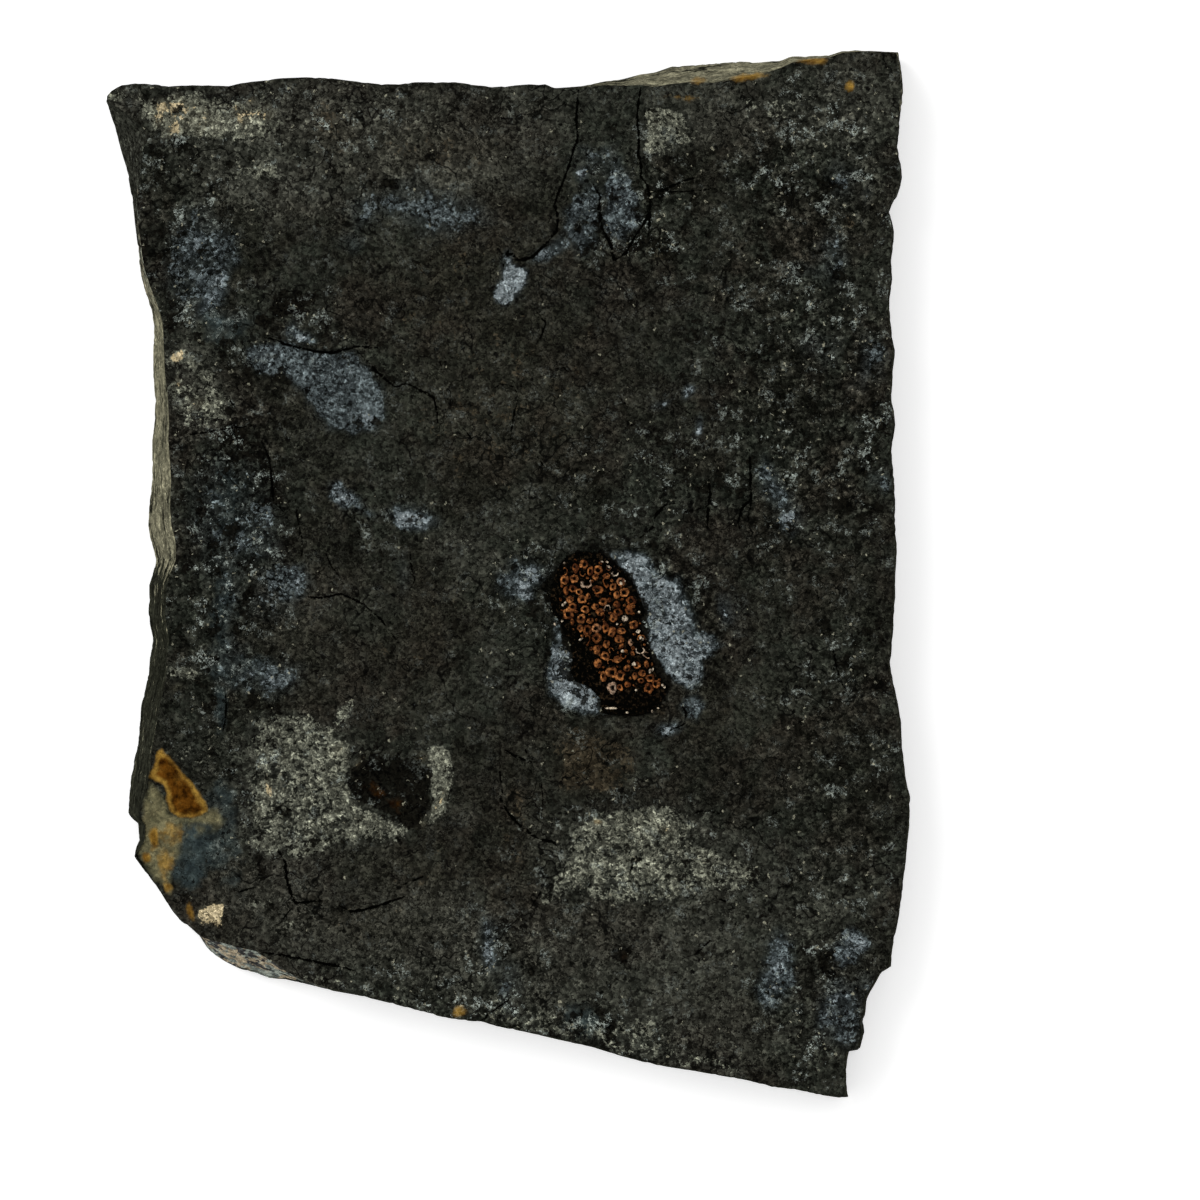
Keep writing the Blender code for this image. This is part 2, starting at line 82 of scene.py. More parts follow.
LOWER_EDGE = (
    (134, 857), (145, 872), (158, 889), (166, 902), (174, 914), (181, 922), (190, 928),
    (200, 937), (205, 946), (212, 954), (224, 962), (240, 970), (256, 974), (269, 979),
    (288, 981), (311, 986), (334, 992), (357, 996), (390, 1004), (420, 1012), (446, 1019),
    (470, 1022), (484, 1023), (495, 1027), (530, 1034), (560, 1041), (573, 1044), (592, 1048),
    (621, 1057), (655, 1066), (694, 1072), (722, 1077), (746, 1081), (772, 1088), (798, 1091),
    (820, 1096), (841, 1099), (849, 1098),
)
LEFT_EDGE = (
    (133, 857), (135, 848), (138, 841), (137, 824), (131, 819), (127, 814), (128, 795),
    (130, 776), (133, 760), (137, 742), (138.5, 722), (140, 705), (144, 690), (147.5, 672),
    (149, 655), (152, 640), (149, 626), (147, 614), (148, 598), (148, 585), (152, 572),
    (155, 560), (152, 548), (149, 538), (147, 525), (148, 505), (151, 480), (151, 460),
    (151, 440), (153, 425), (154, 400), (152, 375), (152, 350), (153, 325), (150, 310),
    (147, 300), (143, 287), (140, 275), (138, 262), (137, 248), (134, 225), (132, 205),
    (129, 188), (126, 170), (120, 150), (115, 131), (110, 115), (105, 100),
)

# Where a side slopes, the bedding face stops short of the outline: (place, width), both in
# pixels. The right side is a steep wall with one width all along.
LEFT_SLOPE = (
    (100, 3), (116, 20), (131, 31), (150, 26), (175, 15), (205, 7), (240, 5), (275, 7),
    (300, 9), (325, 11), (350, 13), (400, 15), (450, 19), (500, 22), (540, 27), (565, 20),
    (600, 19), (640, 18), (700, 21), (742, 17), (775, 20), (805, 16), (823, 9), (841, 7),
    (857, 4),
)
UPPER_SLOPE = (
    (105, 3), (575, 3), (600, 5), (625, 9), (645, 14), (667, 20), (690, 19), (712, 22),
    (735, 20), (758, 15), (780, 10), (800, 7), (827, 4), (874, 3), (899, 3),
)
LOWER_SLOPE = (
    (134, 4), (200, 3), (208, 12), (225, 20), (240, 23), (262, 24), (280, 14), (296, 6),
    (311, 4), (357, 3), (849, 3),
)
RIGHT_SLOPE = ((51, 3), (1098, 3))
UPPER_LEFT, UPPER_RIGHT, LOWER_RIGHT = (109.0, 103.0), (896.0, 54.0), (846.0, 1095.0)


def widths(table, places):
    """Widths in pixels read between the rows of a slope table."""
    rows = np.array(table, float)
    return np.interp(places, rows[:, 0], rows[:, 1])


def spot(place, height=0.0):
    """Turn a place in the photograph into a point at a height."""
    return Vector((
        (place[0] - PHOTO_MIDDLE[0]) * pixel, (PHOTO_MIDDLE[1] - place[1]) * pixel, height))


def to_photo(points):
    """Turn points in metres into places in the photograph, as two columns."""
    return np.stack((
        points[:, 0] / pixel + PHOTO_MIDDLE[0], PHOTO_MIDDLE[1] - points[:, 1] / pixel), 1)


def along(edge, reach, share):
    """Places at shares of an edge's own length."""
    return np.stack((np.interp(share, reach, edge[:, 0]), np.interp(share, reach, edge[:, 1])), 1)


class Side:
    """One of the four sides of the outline, with the bedding face's own edge inside it."""

    def __init__(self, outline, shift):
        self.outer = np.array(outline, float)
        self.inner = self.outer + shift
        steps = np.hypot(*np.diff(self.outer, axis=0).T)
        self.reach = np.concatenate(([0.0], np.cumsum(steps))) / steps.sum()

    def places(self, share, inner=True):
        return along(self.inner if inner else self.outer, self.reach, share)


def side_shift(edge, table, axis, sign):
    """Step from an outline edge to the bedding face's edge, pixel by pixel."""
    rows = np.array(edge, float)
    shift = np.zeros_like(rows)
    shift[:, axis] = sign * widths(table, rows[:, 1 - axis])
    return shift


upper = Side(UPPER_EDGE, side_shift(UPPER_EDGE, UPPER_SLOPE, 1, 1))
lower = Side(LOWER_EDGE, side_shift(LOWER_EDGE, LOWER_SLOPE, 1, -1))
left = Side(LEFT_EDGE, side_shift(LEFT_EDGE, LEFT_SLOPE, 0, 1))
right = Side(RIGHT_EDGE, side_shift(RIGHT_EDGE, RIGHT_SLOPE, 0, -1))
left.inner[0] = lower.inner[0] = (left.inner[0] + lower.inner[0]) / 2
left.inner[-1] = upper.inner[0] = np.array(UPPER_LEFT)
right.inner[0] = upper.inner[-1] = np.array(UPPER_RIGHT)
right.inner[-1] = lower.inner[-1] = np.array(LOWER_RIGHT)

# The grid runs upwards, and so does this copy of the right side.
right_up = Side(RIGHT_EDGE[::-1], 0.0)
right_up.inner = right.inner[::-1].copy()


def fill_four_sides(u, v, low, high, west, east, inner=True):
    """Spread a grid evenly between four sides that meet at its corners."""
    bottom, top = low.places(u, inner), high.places(u, inner)
    first, last = west.places(v, inner), east.places(v, inner)
    u, v = u[:, None], v[:, None]
    corner = [side.places(np.array([end]), inner) for side in (low, high) for end in (0.0, 1.0)]
    across = (1 - v) * bottom + v * top + (1 - u) * first + u * last
    return across - (
        (1 - u) * (1 - v) * corner[0] + u * (1 - v) * corner[1]
        + (1 - u) * v * corner[2] + u * v * corner[3])


def path_distance(places, path, closed=False):
    """Distance from each place to a path, and the nearest point of the path."""
    path = np.array(path, float)
    if closed:
        path = np.vstack((path, path[:1]))
    nearest = np.full(len(places), np.inf)
    foot = places.copy()
    for start, end in zip(path, path[1:]):
        run = end - start
        share = ((places - start) @ run / max(run @ run, 1e-9)).clip(0, 1)
        point = start + share[:, None] * run
        gap = np.hypot(*(places - point).T)
        closer = gap < nearest
        nearest[closer] = gap[closer]
        foot[closer] = point[closer]
    return nearest, foot


def inside(places, outline):
    """True for the places within a closed outline."""
    within = np.zeros(len(places), bool)
    x, y = places.T
    for (x0, y0), (x1, y1) in zip(outline, outline[1:] + outline[:1]):
        if y0 != y1:
            crosses = (y0 > y) != (y1 > y)
            within ^= crosses & (x < (x1 - x0) * (y - y0) / (y1 - y0) + x0)
    return within


def outline_distance(places, outline):
    """Distance in pixels to an outline, negative inside it."""
    gap = path_distance(places, outline, closed=True)[0]
    return np.where(inside(places, outline), -gap, gap)


def roughness_at(places, size, seed):
    """Smooth noise between about -1 and 1 whose lumps are size pixels across."""
    return np.array([noise.noise((x / size, y / size, seed)) for x, y in places]) * 1.6


def ease(value):
    """A smooth step from 0 to 1."""
    value = value.clip(0, 1)
    return value * value * (3 - 2 * value)


# Open cracks: half width and path, in pixels.
CRACKS = (
    (1.6, ((579, 89), (577, 108), (576, 124), (578, 139), (573, 152), (570, 164), (563, 183),
           (557, 196), (555, 206), (558, 218), (557, 231), (545, 246), (532, 258), (519, 261),
           (508, 252), (503, 268))),
    (1.7, ((641, 87), (638, 104), (637, 122), (639, 138), (638, 152), (641, 166), (641, 177),
           (647, 186), (650, 200), (650, 220), (648, 238))),
    (1.2, ((650, 194), (660, 191), (672, 187), (682, 182), (693, 179), (704, 174))),
    (0.9, ((659, 193), (690, 192), (716, 189))),
    (1.6, ((649, 210), (643, 226), (633, 240), (626, 254), (614, 261), (610, 244), (602, 228),
           (599, 210), (600, 196), (592, 184))),
    (1.5, ((265, 338), (276, 340), (287, 345), (300, 348), (316, 352), (335, 353), (346, 350),
           (358, 347), (378, 348))),
    (1.5, ((358, 352), (366, 360), (372, 367), (384, 378), (396, 388), (404, 384))),
    (1.7, ((407, 384), (420, 390), (434, 398), (437, 410), (438, 422))),
    (0.9, ((397, 335), (404, 341), (412, 349))),
    (0.9, ((464, 429), (468, 434), (472, 439))),
    (0.9, ((535, 310), (546, 323), (542, 335), (536, 345))),
    (0.9, ((495, 388), (502, 384), (514, 387), (519, 397))),
    (0.9, ((555, 369), (564, 368), (573, 377))),
    (0.9, ((535, 453), (545, 468), (563, 469))),
    (1.3, ((640, 538), (652, 528), (656, 515), (665, 505), (680, 503))),
    (1.3, ((683, 512), (696, 510), (709, 506))),
    (1.6, ((708, 478), (710, 495), (708, 508), (707, 530))),
    (1.4, ((749, 449), (750, 472), (751, 500), (742, 508), (738, 520), (740, 532))),
    (0.9, ((751, 501), (748, 522))),
    (1.2, ((829, 640), (834, 654), (836, 668), (842, 684), (846, 690))),
    (1.3, ((686, 816), (700, 811), (711, 811), (730, 817))),
    (1.5, ((498, 745), (514, 755), (531, 762))),
    (1.5, ((500, 798), (508, 812), (521, 826), (537, 838), (554, 842), (562, 852))),
    (0.9, ((523, 742), (527, 754), (536, 762))),
    (0.9, ((541, 778), (543, 800), (541, 822))),
    (1.3, ((263, 952), (280, 954), (300, 958), (320, 962), (340, 966), (361, 971))),
    (1.9, ((279, 851), (286, 862), (287, 878), (291, 892), (296, 903), (312, 901), (324, 900))),
    (1.9, ((296, 903), (290, 910), (284, 918))),
    (1.8, ((338, 904), (351, 911), (365, 909), (388, 902), (405, 896))),
    (1.3, ((404, 884), (414, 880), (424, 876))),
    (1.2, ((235, 893), (250, 888), (262, 886))),
    (1.6, ((226, 694), (227, 712), (224, 730))),
    (0.9, ((180, 436), (205, 433), (228, 429), (252, 426))),
    (1.4, ((262, 441), (270, 458), (272, 480), (274, 500), (284, 512))),
    (0.9, ((296, 500), (298, 520), (303, 542), (302, 556))),
    (1.3, ((298, 596), (320, 598), (342, 594), (364, 604), (382, 620), (394, 636), (402, 648))),
    (0.9, ((326, 553), (332, 566), (340, 576))),
    (0.9, ((410, 548), (412, 570), (415, 580), (410, 590))),
    (0.9, ((352, 500), (356, 524), (364, 544))),
    (1.2, ((655, 618), (665, 624), (673, 622))),
    (1.4, ((680, 703), (686, 712), (684, 724), (670, 730))),
    (0.9, ((694, 954), (702, 948), (710, 940))),
    (0.9, ((712, 895), (725, 901))),
    (1.1, ((516, 990), (508, 1000), (496, 1008), (480, 1021))),
    (0.9, ((500, 748), (500, 770), (503, 800))),
    (1.5, ((817, 592), (819, 606))),
    (1.4, ((634, 861), (630, 872), (628, 876))),
    (1.2, ((640, 860), (650, 866), (656, 872))),
    (0.9, ((650, 792), (644, 786))),
    (0.9, ((230, 400), (238, 410))),
    (0.9, ((663, 974), (676, 972))),
    (0.9, ((546, 880), (538, 896), (530, 908))),
    (0.9, ((499, 900), (514, 896))),
    (0.9, ((628, 408), (622, 400))),
    (0.9, ((672, 403), (690, 414), (694, 424))),
    (0.9, ((519, 396), (513, 420), (510, 446))),
)
CRACK_DEPTH = 0.2 * MM

# The bedding face is a fine grid spread between the four sides.
ACROSS, UP = 241, 315
slab_mesh = bmesh.new()
bmesh.ops.create_grid(slab_mesh, x_segments=ACROSS, y_segments=UP, size=1.0)
grid = np.array([vert.co for vert in slab_mesh.verts])
u, v = (grid[:, 0] + 1) / 2, (grid[:, 1] + 1) / 2
places = fill_four_sides(u, v, lower, upper, left, right_up)
within_edges = (u > 1e-4) & (u < 1 - 1e-4) & (v > 1e-4) & (v < 1 - 1e-4)

# Grid points next to a crack slide onto it, so that its bottom is one clean line. A crack
# narrows over the last pixels before each end.
SNAP = 1.7
NARROWING = 16
crack_gap = np.full(len(places), np.inf)
crack_edge = np.full(len(places), np.inf)
for half_width, path in CRACKS:
    gap, foot = path_distance(places, path)
    near = (gap < SNAP) & (gap < crack_gap) & within_edges
    places[near] = foot[near]
    gap = np.where(near, 0.0, gap)
    crack_gap = np.minimum(crack_gap, gap)
    end_gap = np.minimum(*(np.hypot(*(places - end).T) for end in (path[0], path[-1])))
    crack_edge = np.minimum(
        crack_edge, gap - 0.8 * half_width * (end_gap / NARROWING).clip(0.3, 1))
for vert, (x, y) in zip(slab_mesh.verts, places):
    vert.co = spot((x, y), BEDDING)

# The broken side, from the bedding face down: height as a share of the thickness, share of
# the slope's width that is left, and how far this layer is broken back, in pixels.
SIDE_STEPS = (
    (0.965, 0.98, 0.2), (0.925, 0.95, 0.9), (0.885, 0.86, 0.2), (0.84, 0.80, 1.2),
    (0.775, 0.68, 0.4), (0.735, 0.60, 1.7), (0.655, 0.52, 0.7), (0.61, 0.42, 1.9),
    (0.53, 0.34, 0.6), (0.47, 0.22, 1.5), (0.40, 0.13, 0.4), (0.34, 0.03, 0.0),
    (0.22, 0.0, 0.0), (0.14, 0.02, 1.2), (0.10, 0.03, 3.2), (0.0, 0.04, 4.4),
)
rim_outer = fill_four_sides(u, v, lower, upper, left, right_up, inner=False)
source = slab_mesh.verts.layers.int.new("grid_index")
for index, vert in enumerate(slab_mesh.verts):
    vert[source] = index

# Small chips along the rim, in pixels.
chipped = np.array([
    max(0.0, noise.noise((x / 9, y / 9, 3.0)) * 5 + noise.noise((x / 3.7, y / 3.7, 8.0)) * 3.4)
    for x, y in rim_outer]).clip(0, 3.2) * 0.25


def broken_rim(number, slope_share, broken_back, indices):
    """Where a layer's edge lies, for the grid points on the rim."""
    outer, inner = rim_outer[indices], places[indices]
    toward = inner - outer
    length = np.hypot(*toward.T)[:, None]
    toward = toward / np.maximum(length, 1e-6)
    ragged = np.array([
        noise.noise((x / 26, y / 26, number * 3.7)) * 1.5 + noise.noise((x / 7, y / 7, number * 9.1))
        for x, y in outer])
    step = broken_back * (1 + ragged.clip(-0.9, 1.2))
    return outer + (inner - outer) * slope_share + toward * (step + chipped[indices])[:, None]


edges = [edge for edge in slab_mesh.edges if edge.is_boundary]
for number, (height_share, slope_share, broken_back) in enumerate(SIDE_STEPS):
    grown = bmesh.ops.extrude_edge_only(slab_mesh, edges=edges)["geom"]
    verts = [item for item in grown if isinstance(item, bmesh.types.BMVert)]
    edges = [item for item in grown if isinstance(item, bmesh.types.BMEdge) and item.is_boundary]
    rim = broken_rim(number, slope_share, broken_back, np.array([vert[source] for vert in verts]))
    for vert, place in zip(verts, rim):
        vert.co = spot(place, height_share * BEDDING)

# The underside is a coarser, slightly uneven grid, and the last layer's edge is gathered
# onto its rim.
UNDER_ACROSS, UNDER_UP = 30, 40
UNDER_SLOPE_SHARE, UNDER_BROKEN_BACK = 0.04, 6.0
UNDER_RELIEF = 0.14 * MM
column, row = np.round(u * ACROSS).astype(int), np.round(v * UP).astype(int)
grid_number = {pair: index for index, pair in enumerate(zip(column.tolist(), row.tolist()))}
kept_columns = np.round(np.linspace(0, ACROSS, UNDER_ACROSS + 1)).astype(int)
kept_rows = np.round(np.linspace(0, UP, UNDER_UP + 1)).astype(int)


def under_rim(columns, rows):
    """Where the underside's rim lies, in pixels, at the nearest kept columns and rows."""
    columns = kept_columns[np.abs(kept_columns - np.array(columns)[:, None]).argmin(axis=1)]
    rows = kept_rows[np.abs(kept_rows - np.array(rows)[:, None]).argmin(axis=1)]
    indices = np.array([grid_number[pair] for pair in zip(columns.tolist(), rows.tolist())])
    return broken_rim(len(SIDE_STEPS), UNDER_SLOPE_SHARE, UNDER_BROKEN_BACK, indices)


first_under = len(slab_mesh.verts)
grown = bmesh.ops.extrude_edge_only(slab_mesh, edges=edges)["geom"]
rim_verts = [item for item in grown if isinstance(item, bmesh.types.BMVert)]
sources = [vert[source] for vert in rim_verts]
for vert, place in zip(rim_verts, under_rim(column[sources], row[sources])):
    vert.co = spot(place, 0.0)
under_verts = bmesh.ops.create_grid(
    slab_mesh, x_segments=UNDER_ACROSS, y_segments=UNDER_UP, size=1.0)["verts"]
under_column = kept_columns[[round((vert.co.x + 1) * UNDER_ACROSS / 2) for vert in under_verts]]
under_row = kept_rows[[round((vert.co.y + 1) * UNDER_UP / 2) for vert in under_verts]]
at_rim = (under_column % ACROSS == 0) | (under_row % UP == 0)
under_places = np.where(
    at_rim[:, None], under_rim(under_column, under_row),
    fill_four_sides(
        under_column / ACROSS, under_row / UP, lower, upper, left, right_up, inner=False))
under_relief = UNDER_RELIEF * (1 + roughness_at(under_places, 70, 6.6)).clip(0, 2) * ~at_rim
for vert, place, lift in zip(under_verts, under_places, under_relief):
    vert.co = spot(place, lift)
rim_verts += [vert for vert, joined in zip(under_verts, at_rim) if joined]
bmesh.ops.remove_doubles(slab_mesh, verts=rim_verts, dist=0.01 * MM)
bmesh.ops.recalc_face_normals(slab_mesh, faces=slab_mesh.faces)


def make_object(mesh, name):
    """Turn a finished mesh into an object at the origin."""
    data = bpy.data.meshes.new(name)
    mesh.to_mesh(data)
    mesh.free()
    made = bpy.data.objects.new(name, data)
    bpy.context.scene.collection.objects.link(made)
    return made


slab = make_object(slab_mesh, "shale_slab_detailed")
slab_data = slab.data
points = np.empty(len(slab_data.vertices) * 3, np.float32)
slab_data.vertices.foreach_get("co", points)
points = points.reshape(-1, 3).astype(float)
photo = to_photo(points)
on_top = np.arange(len(points)) < len(crack_gap)
under = np.arange(len(points)) >= first_under

coarse = roughness_at(photo, 60, 1.3)
medium = roughness_at(photo, 16, 2.7)
fine = roughness_at(photo, 7, 4.1)
tiny = roughness_at(photo, 3.9, 8.8)
ragged = 3.2 * medium + 2.0 * fine

# Thin flakes lost from the bedding face: depth and outline.
FLAKES = (
    (0.38 * MM, ((240, 345), (265, 338), (316, 353), (358, 353), (378, 378), (391, 392),
                 (384, 410), (376, 426), (345, 433), (318, 412), (300, 384), (262, 372))),
    (0.45 * MM, ((206, 433), (262, 427), (272, 472), (276, 502), (298, 520), (306, 556),
                 (300, 600), (262, 612), (244, 640), (222, 622), (212, 590), (208, 520))),
    (0.3 * MM, ((577, 140), (606, 143), (637, 160), (641, 178), (650, 200), (634, 240),
                (615, 258), (606, 238), (580, 252), (555, 252), (557, 206), (566, 175))),
    (0.25 * MM, ((497, 272), (513, 268), (528, 278), (524, 300), (506, 305), (494, 298))),
    (0.25 * MM, ((252, 726), (284, 712), (318, 738), (312, 778), (312, 818), (332, 842),
                 (300, 858), (262, 852), (250, 800), (256, 764))),
    (0.3 * MM, ((590, 812), (622, 818), (650, 798), (676, 820), (690, 846), (742, 858),
                (770, 882), (700, 896), (664, 906), (610, 898), (566, 905), (552, 884),
                (572, 850))),
    (0.6 * MM, ((800, 1000), (812, 962), (836, 942), (866, 950), (900, 960), (900, 985),
                (884, 1010), (878, 1060), (838, 1056), (804, 1036))),
    (0.4 * MM, ((158, 752), (176, 768), (206, 804), (216, 830), (202, 884), (176, 890),
                (140, 872), (120, 850), (146, 800))),
)
# The outline of the window scraped round the fossil.
WINDOW = (
    (560, 551), (608, 549), (652, 551), (668, 572), (684, 580), (696, 614), (700, 634),
    (722, 642), (718, 656), (704, 662), (700, 684), (672, 700), (656, 717), (602, 716),
    (556, 711), (546, 690), (546, 640), (544, 600), (548, 570),
)
# Pits: middle, half width and half height in pixels, and depth.
PITS = (
    ((294, 310), 22, 20, 0.8 * MM), ((282, 381), 13, 12, 0.6 * MM),
    ((390, 789), 37, 27, 1.3 * MM), ((619, 956), 12, 13, 0.7 * MM),
    ((262, 870), 6, 11, 0.7 * MM), ((829, 962), 7, 16, 0.7 * MM),
    ((838, 978), 9, 10, 0.8 * MM), ((698, 858), 11, 8, 0.35 * MM),
    ((818, 636), 14, 10, 0.25 * MM), ((581, 228), 5, 5, 0.4 * MM),
    ((598, 1004), 4, 8, 0.4 * MM), ((396, 186), 4, 4, 0.3 * MM),
    ((772, 1021), 8, 5, 0.3 * MM), ((600, 604), 4, 4, 0.2 * MM),
)
# The fossil's outline, clockwise from its upper left, and the depth of its seat.
MASS_OUTLINE = (
    (567, 556), (580, 552), (600, 553), (614, 562), (621, 569), (633, 585), (641, 600),
    (644, 611), (640, 619), (641, 628), (646, 640), (653, 662), (656, 675), (668, 688),
    (664, 698), (656, 706), (652, 713), (630, 715), (603, 713), (600, 698), (588, 686),
    (575, 681), (571, 672), (573, 655), (570, 640), (563, 632), (560, 622), (553, 612),
    (550, 598), (554, 580), (559, 566),
)
SEAT_DEPTH = 0.5 * MM

# The face's own relief: broad swells, thin terraces and small unevenness.
terraces = (2.3 * roughness_at(photo, 75, 11.0) + 0.8 * medium + 0.5 * fine)
steps = np.floor(terraces) + ease((terraces % 1 - 0.88) / 0.12)
height = BEDDING + MM * (
    0.05 * coarse + 0.04 * steps + 0.03 * medium + 0.03 * fine + 0.035 * tiny)
for depth, outline in FLAKES:
    gap = outline_distance(photo, outline) + ragged
    height -= depth * ease(0.5 - gap / 4)
window_gap = outline_distance(photo, WINDOW) + 0.35 * ragged
height -= WINDOW_DEPTH * ease(0.5 - window_gap / 3.5)
mass_gap = outline_distance(photo, MASS_OUTLINE)
height -= SEAT_DEPTH * ease(-0.5 - mass_gap / 3)
for (x, y), half_width, half_height, depth in PITS:
    spread = np.hypot((photo[:, 0] - x) / half_width, (photo[:, 1] - y) / half_height)
    bowl = (1.12 - spread + 0.16 * medium + 0.1 * fine).clip(0, 1)
    height -= depth * bowl ** 0.7 * (1 + 0.25 * fine)
NO_CRACK = 40.0
crack_gap_all = np.full(len(points), NO_CRACK)
crack_gap_all[on_top] = crack_gap
crack_edge_all = np.full(len(points), NO_CRACK)
crack_edge_all[on_top] = crack_edge
height -= CRACK_DEPTH * np.exp(-(crack_gap_all / 1.8) ** 2)

# The face's rim is worn a little lower.
WORN_RIM = 0.12 * MM
rim_gap = np.full(len(points), np.inf)
for side in (upper, right, lower, left):
    rim_gap = np.minimum(rim_gap, path_distance(photo, side.inner)[0])
height -= WORN_RIM * np.exp(-rim_gap / 3) * (1 + 0.6 * fine)
points[on_top, 2] = height[on_top]
points[~on_top, 2] = np.maximum(points[~on_top, 2], 0.0)
slab_data.vertices.foreach_set("co", points.astype(np.float32).ravel())
slab_data.shade_smooth()
slab_data.set_sharp_from_angle(angle=math.radians(55))

# Colour zones of the bedding face, placed in the photograph's pixels. A blot is x, y, half
# width, half height, turn, how much of it is covered and how softly it ends. A patch is the
# cover, the softness and an outline. Cool is fresh blue-grey shale, and frost is the palest
# of it.
FRESH_CHIP = (
    (504, 268), (514, 266), (527, 270), (526, 282), (518, 296), (506, 304), (496, 302),
    (497, 290), (503, 280),
)
COOL_BLOTS = (
    (430, 212, 54, 20, 5, 0.75, 12), (362, 206, 16, 18, 0, 0.6, 10), (352, 240, 12, 10, 0, 0.5, 8),
    (410, 190, 24, 12, 0, 0.5, 10), (222, 252, 20, 22, 20, 0.75, 8), (212, 296, 14, 30, 20, 0.9, 8),
    (196, 242, 6, 14, 10, 0.7, 5), (232, 322, 22, 12, 0, 0.5, 8), (300, 336, 16, 9, 0, 0.9, 4),
    (224, 500, 12, 24, 0, 0.5, 10), (252, 530, 28, 36, 15, 0.6, 14), (288, 578, 22, 18, 0, 0.8, 10),
    (226, 600, 14, 40, 5, 0.6, 10), (262, 676, 32, 14, 0, 0.7, 8), (232, 660, 14, 22, 0, 0.55, 10),
    (223, 712, 2, 14, 0, 0.6, 3), (600, 160, 24, 16, 0, 0.5, 8), (582, 222, 16, 34, 8, 0.85, 6),
    (620, 198, 17, 40, 0, 0.85, 6), (552, 250, 22, 7, -20, 0.8, 4), (806, 272, 18, 10, 0, 0.4, 8),
    (830, 256, 12, 22, 0, 0.5, 8), (842, 182, 11, 20, 0, 0.5, 7), (818, 346, 20, 12, 0, 0.35, 10),
    (868, 362, 13, 22, 0, 0.55, 8), (880, 480, 12, 12, 0, 0.5, 8), (774, 492, 12, 28, -30, 0.75, 8),
    (790, 524, 12, 14, 0, 0.7, 8), (490, 946, 10, 28, 0, 0.7, 7), (776, 968, 18, 34, 0, 0.85, 8),
    (852, 944, 18, 16, 0, 0.9, 6), (840, 1012, 24, 34, 10, 0.7, 12), (522, 578, 22, 18, 0, 0.85, 7),
    (506, 984, 12, 24, 0, 0.5, 8), (730, 616, 12, 18, 0, 0.55, 8), (404, 574, 7, 16, 0, 0.35, 7),
    (346, 497, 17, 9, 40, 0.95, 4), (368, 514, 9, 5, 25, 0.7, 4), (410, 517, 22, 10, 12, 0.95, 5),
    (560, 630, 6, 12, 0, 0.9, 4), (668, 730, 12, 6, -20, 0.9, 4), (690, 706, 8, 11, 0, 0.8, 4),
    (662, 404, 9, 3, -20, 0.6, 3), (686, 392, 4, 7, 20, 0.9, 3), (698, 426, 3, 8, 0, 0.9, 3),
    (508, 261, 4, 8, 0, 0.9, 3), (300, 1000, 30, 8, 12, 0.35, 8), (866, 986, 10, 16, 0, 0.5, 8),
    (262, 604, 26, 12, 0, 0.5, 10), (214, 956, 12, 7, 25, 0.8, 4), (236, 962, 8, 6, 20, 0.5, 4),
    (196, 262, 26, 50, 0, 0.7, 14), (228, 520, 34, 60, 0, 0.5, 18),
)
COOL_PATCHES = (
    (0.95, 5, ((246, 348), (262, 343), (285, 345), (318, 353), (352, 352), (372, 372),
               (386, 396), (385, 414), (372, 428), (350, 434), (330, 430), (316, 412),
               (304, 392), (280, 376), (258, 372), (246, 362))),
    (1.0, 3, FRESH_CHIP),
    (1.0, 4, ((606, 551), (645, 551), (652, 556), (658, 568), (668, 576), (680, 577), (683, 591),
              (688, 602), (692, 612), (697, 630), (715, 634), (722, 646), (714, 655), (704, 659),
              (704, 674), (697, 684), (688, 688), (675, 683), (667, 672), (656, 662), (648, 650),
              (645, 625), (643, 610), (638, 600), (630, 584), (620, 568), (610, 560))),
    (1.0, 4, ((553, 640), (566, 641), (573, 650), (576, 660), (575, 672), (584, 682), (598, 690),
              (601, 714), (582, 714), (562, 707), (550, 694), (546, 672), (552, 655))),
)
FROST_BLOTS = (
    (212, 296, 8, 26, 25, 0.6, 6), (196, 242, 4, 12, 10, 0.6, 4), (294, 582, 12, 12, 0, 0.6, 8),
    (300, 338, 11, 6, 0, 0.8, 4), (262, 678, 22, 7, 0, 0.5, 5), (582, 176, 5, 7, 0, 0.7, 4),
    (620, 194, 10, 24, 0, 0.35, 8), (582, 218, 8, 26, 8, 0.35, 6), (550, 250, 14, 5, -20, 0.7, 3),
    (792, 520, 8, 13, 0, 0.75, 6), (774, 486, 6, 18, -30, 0.6, 6), (852, 942, 13, 11, 0, 0.75, 5),
    (776, 968, 11, 26, 0, 0.6, 7), (838, 1008, 16, 24, 0, 0.5, 10), (526, 578, 16, 14, 0, 0.75, 6),
    (346, 496, 13, 7, 40, 0.8, 4), (410, 517, 18, 8, 12, 0.9, 4), (560, 630, 4, 9, 0, 0.7, 3),
    (668, 730, 10, 5, -20, 0.8, 4), (690, 706, 6, 8, 0, 0.6, 4), (686, 392, 4, 6, 20, 0.9, 3),
    (698, 426, 2.5, 7, 0, 0.9, 3), (662, 404, 8, 2.5, -20, 0.5, 3), (508, 262, 3.5, 8, 0, 0.9, 3),
    (488, 944, 7, 20, 0, 0.7, 5), (728, 612, 8, 13, 0, 0.5, 6), (866, 360, 5, 14, 0, 0.4, 5),
    (866, 196, 4, 10, 0, 0.4, 4), (360, 418, 20, 10, 0, 0.5, 6), (342, 392, 30, 26, 0, 0.25, 8),
)
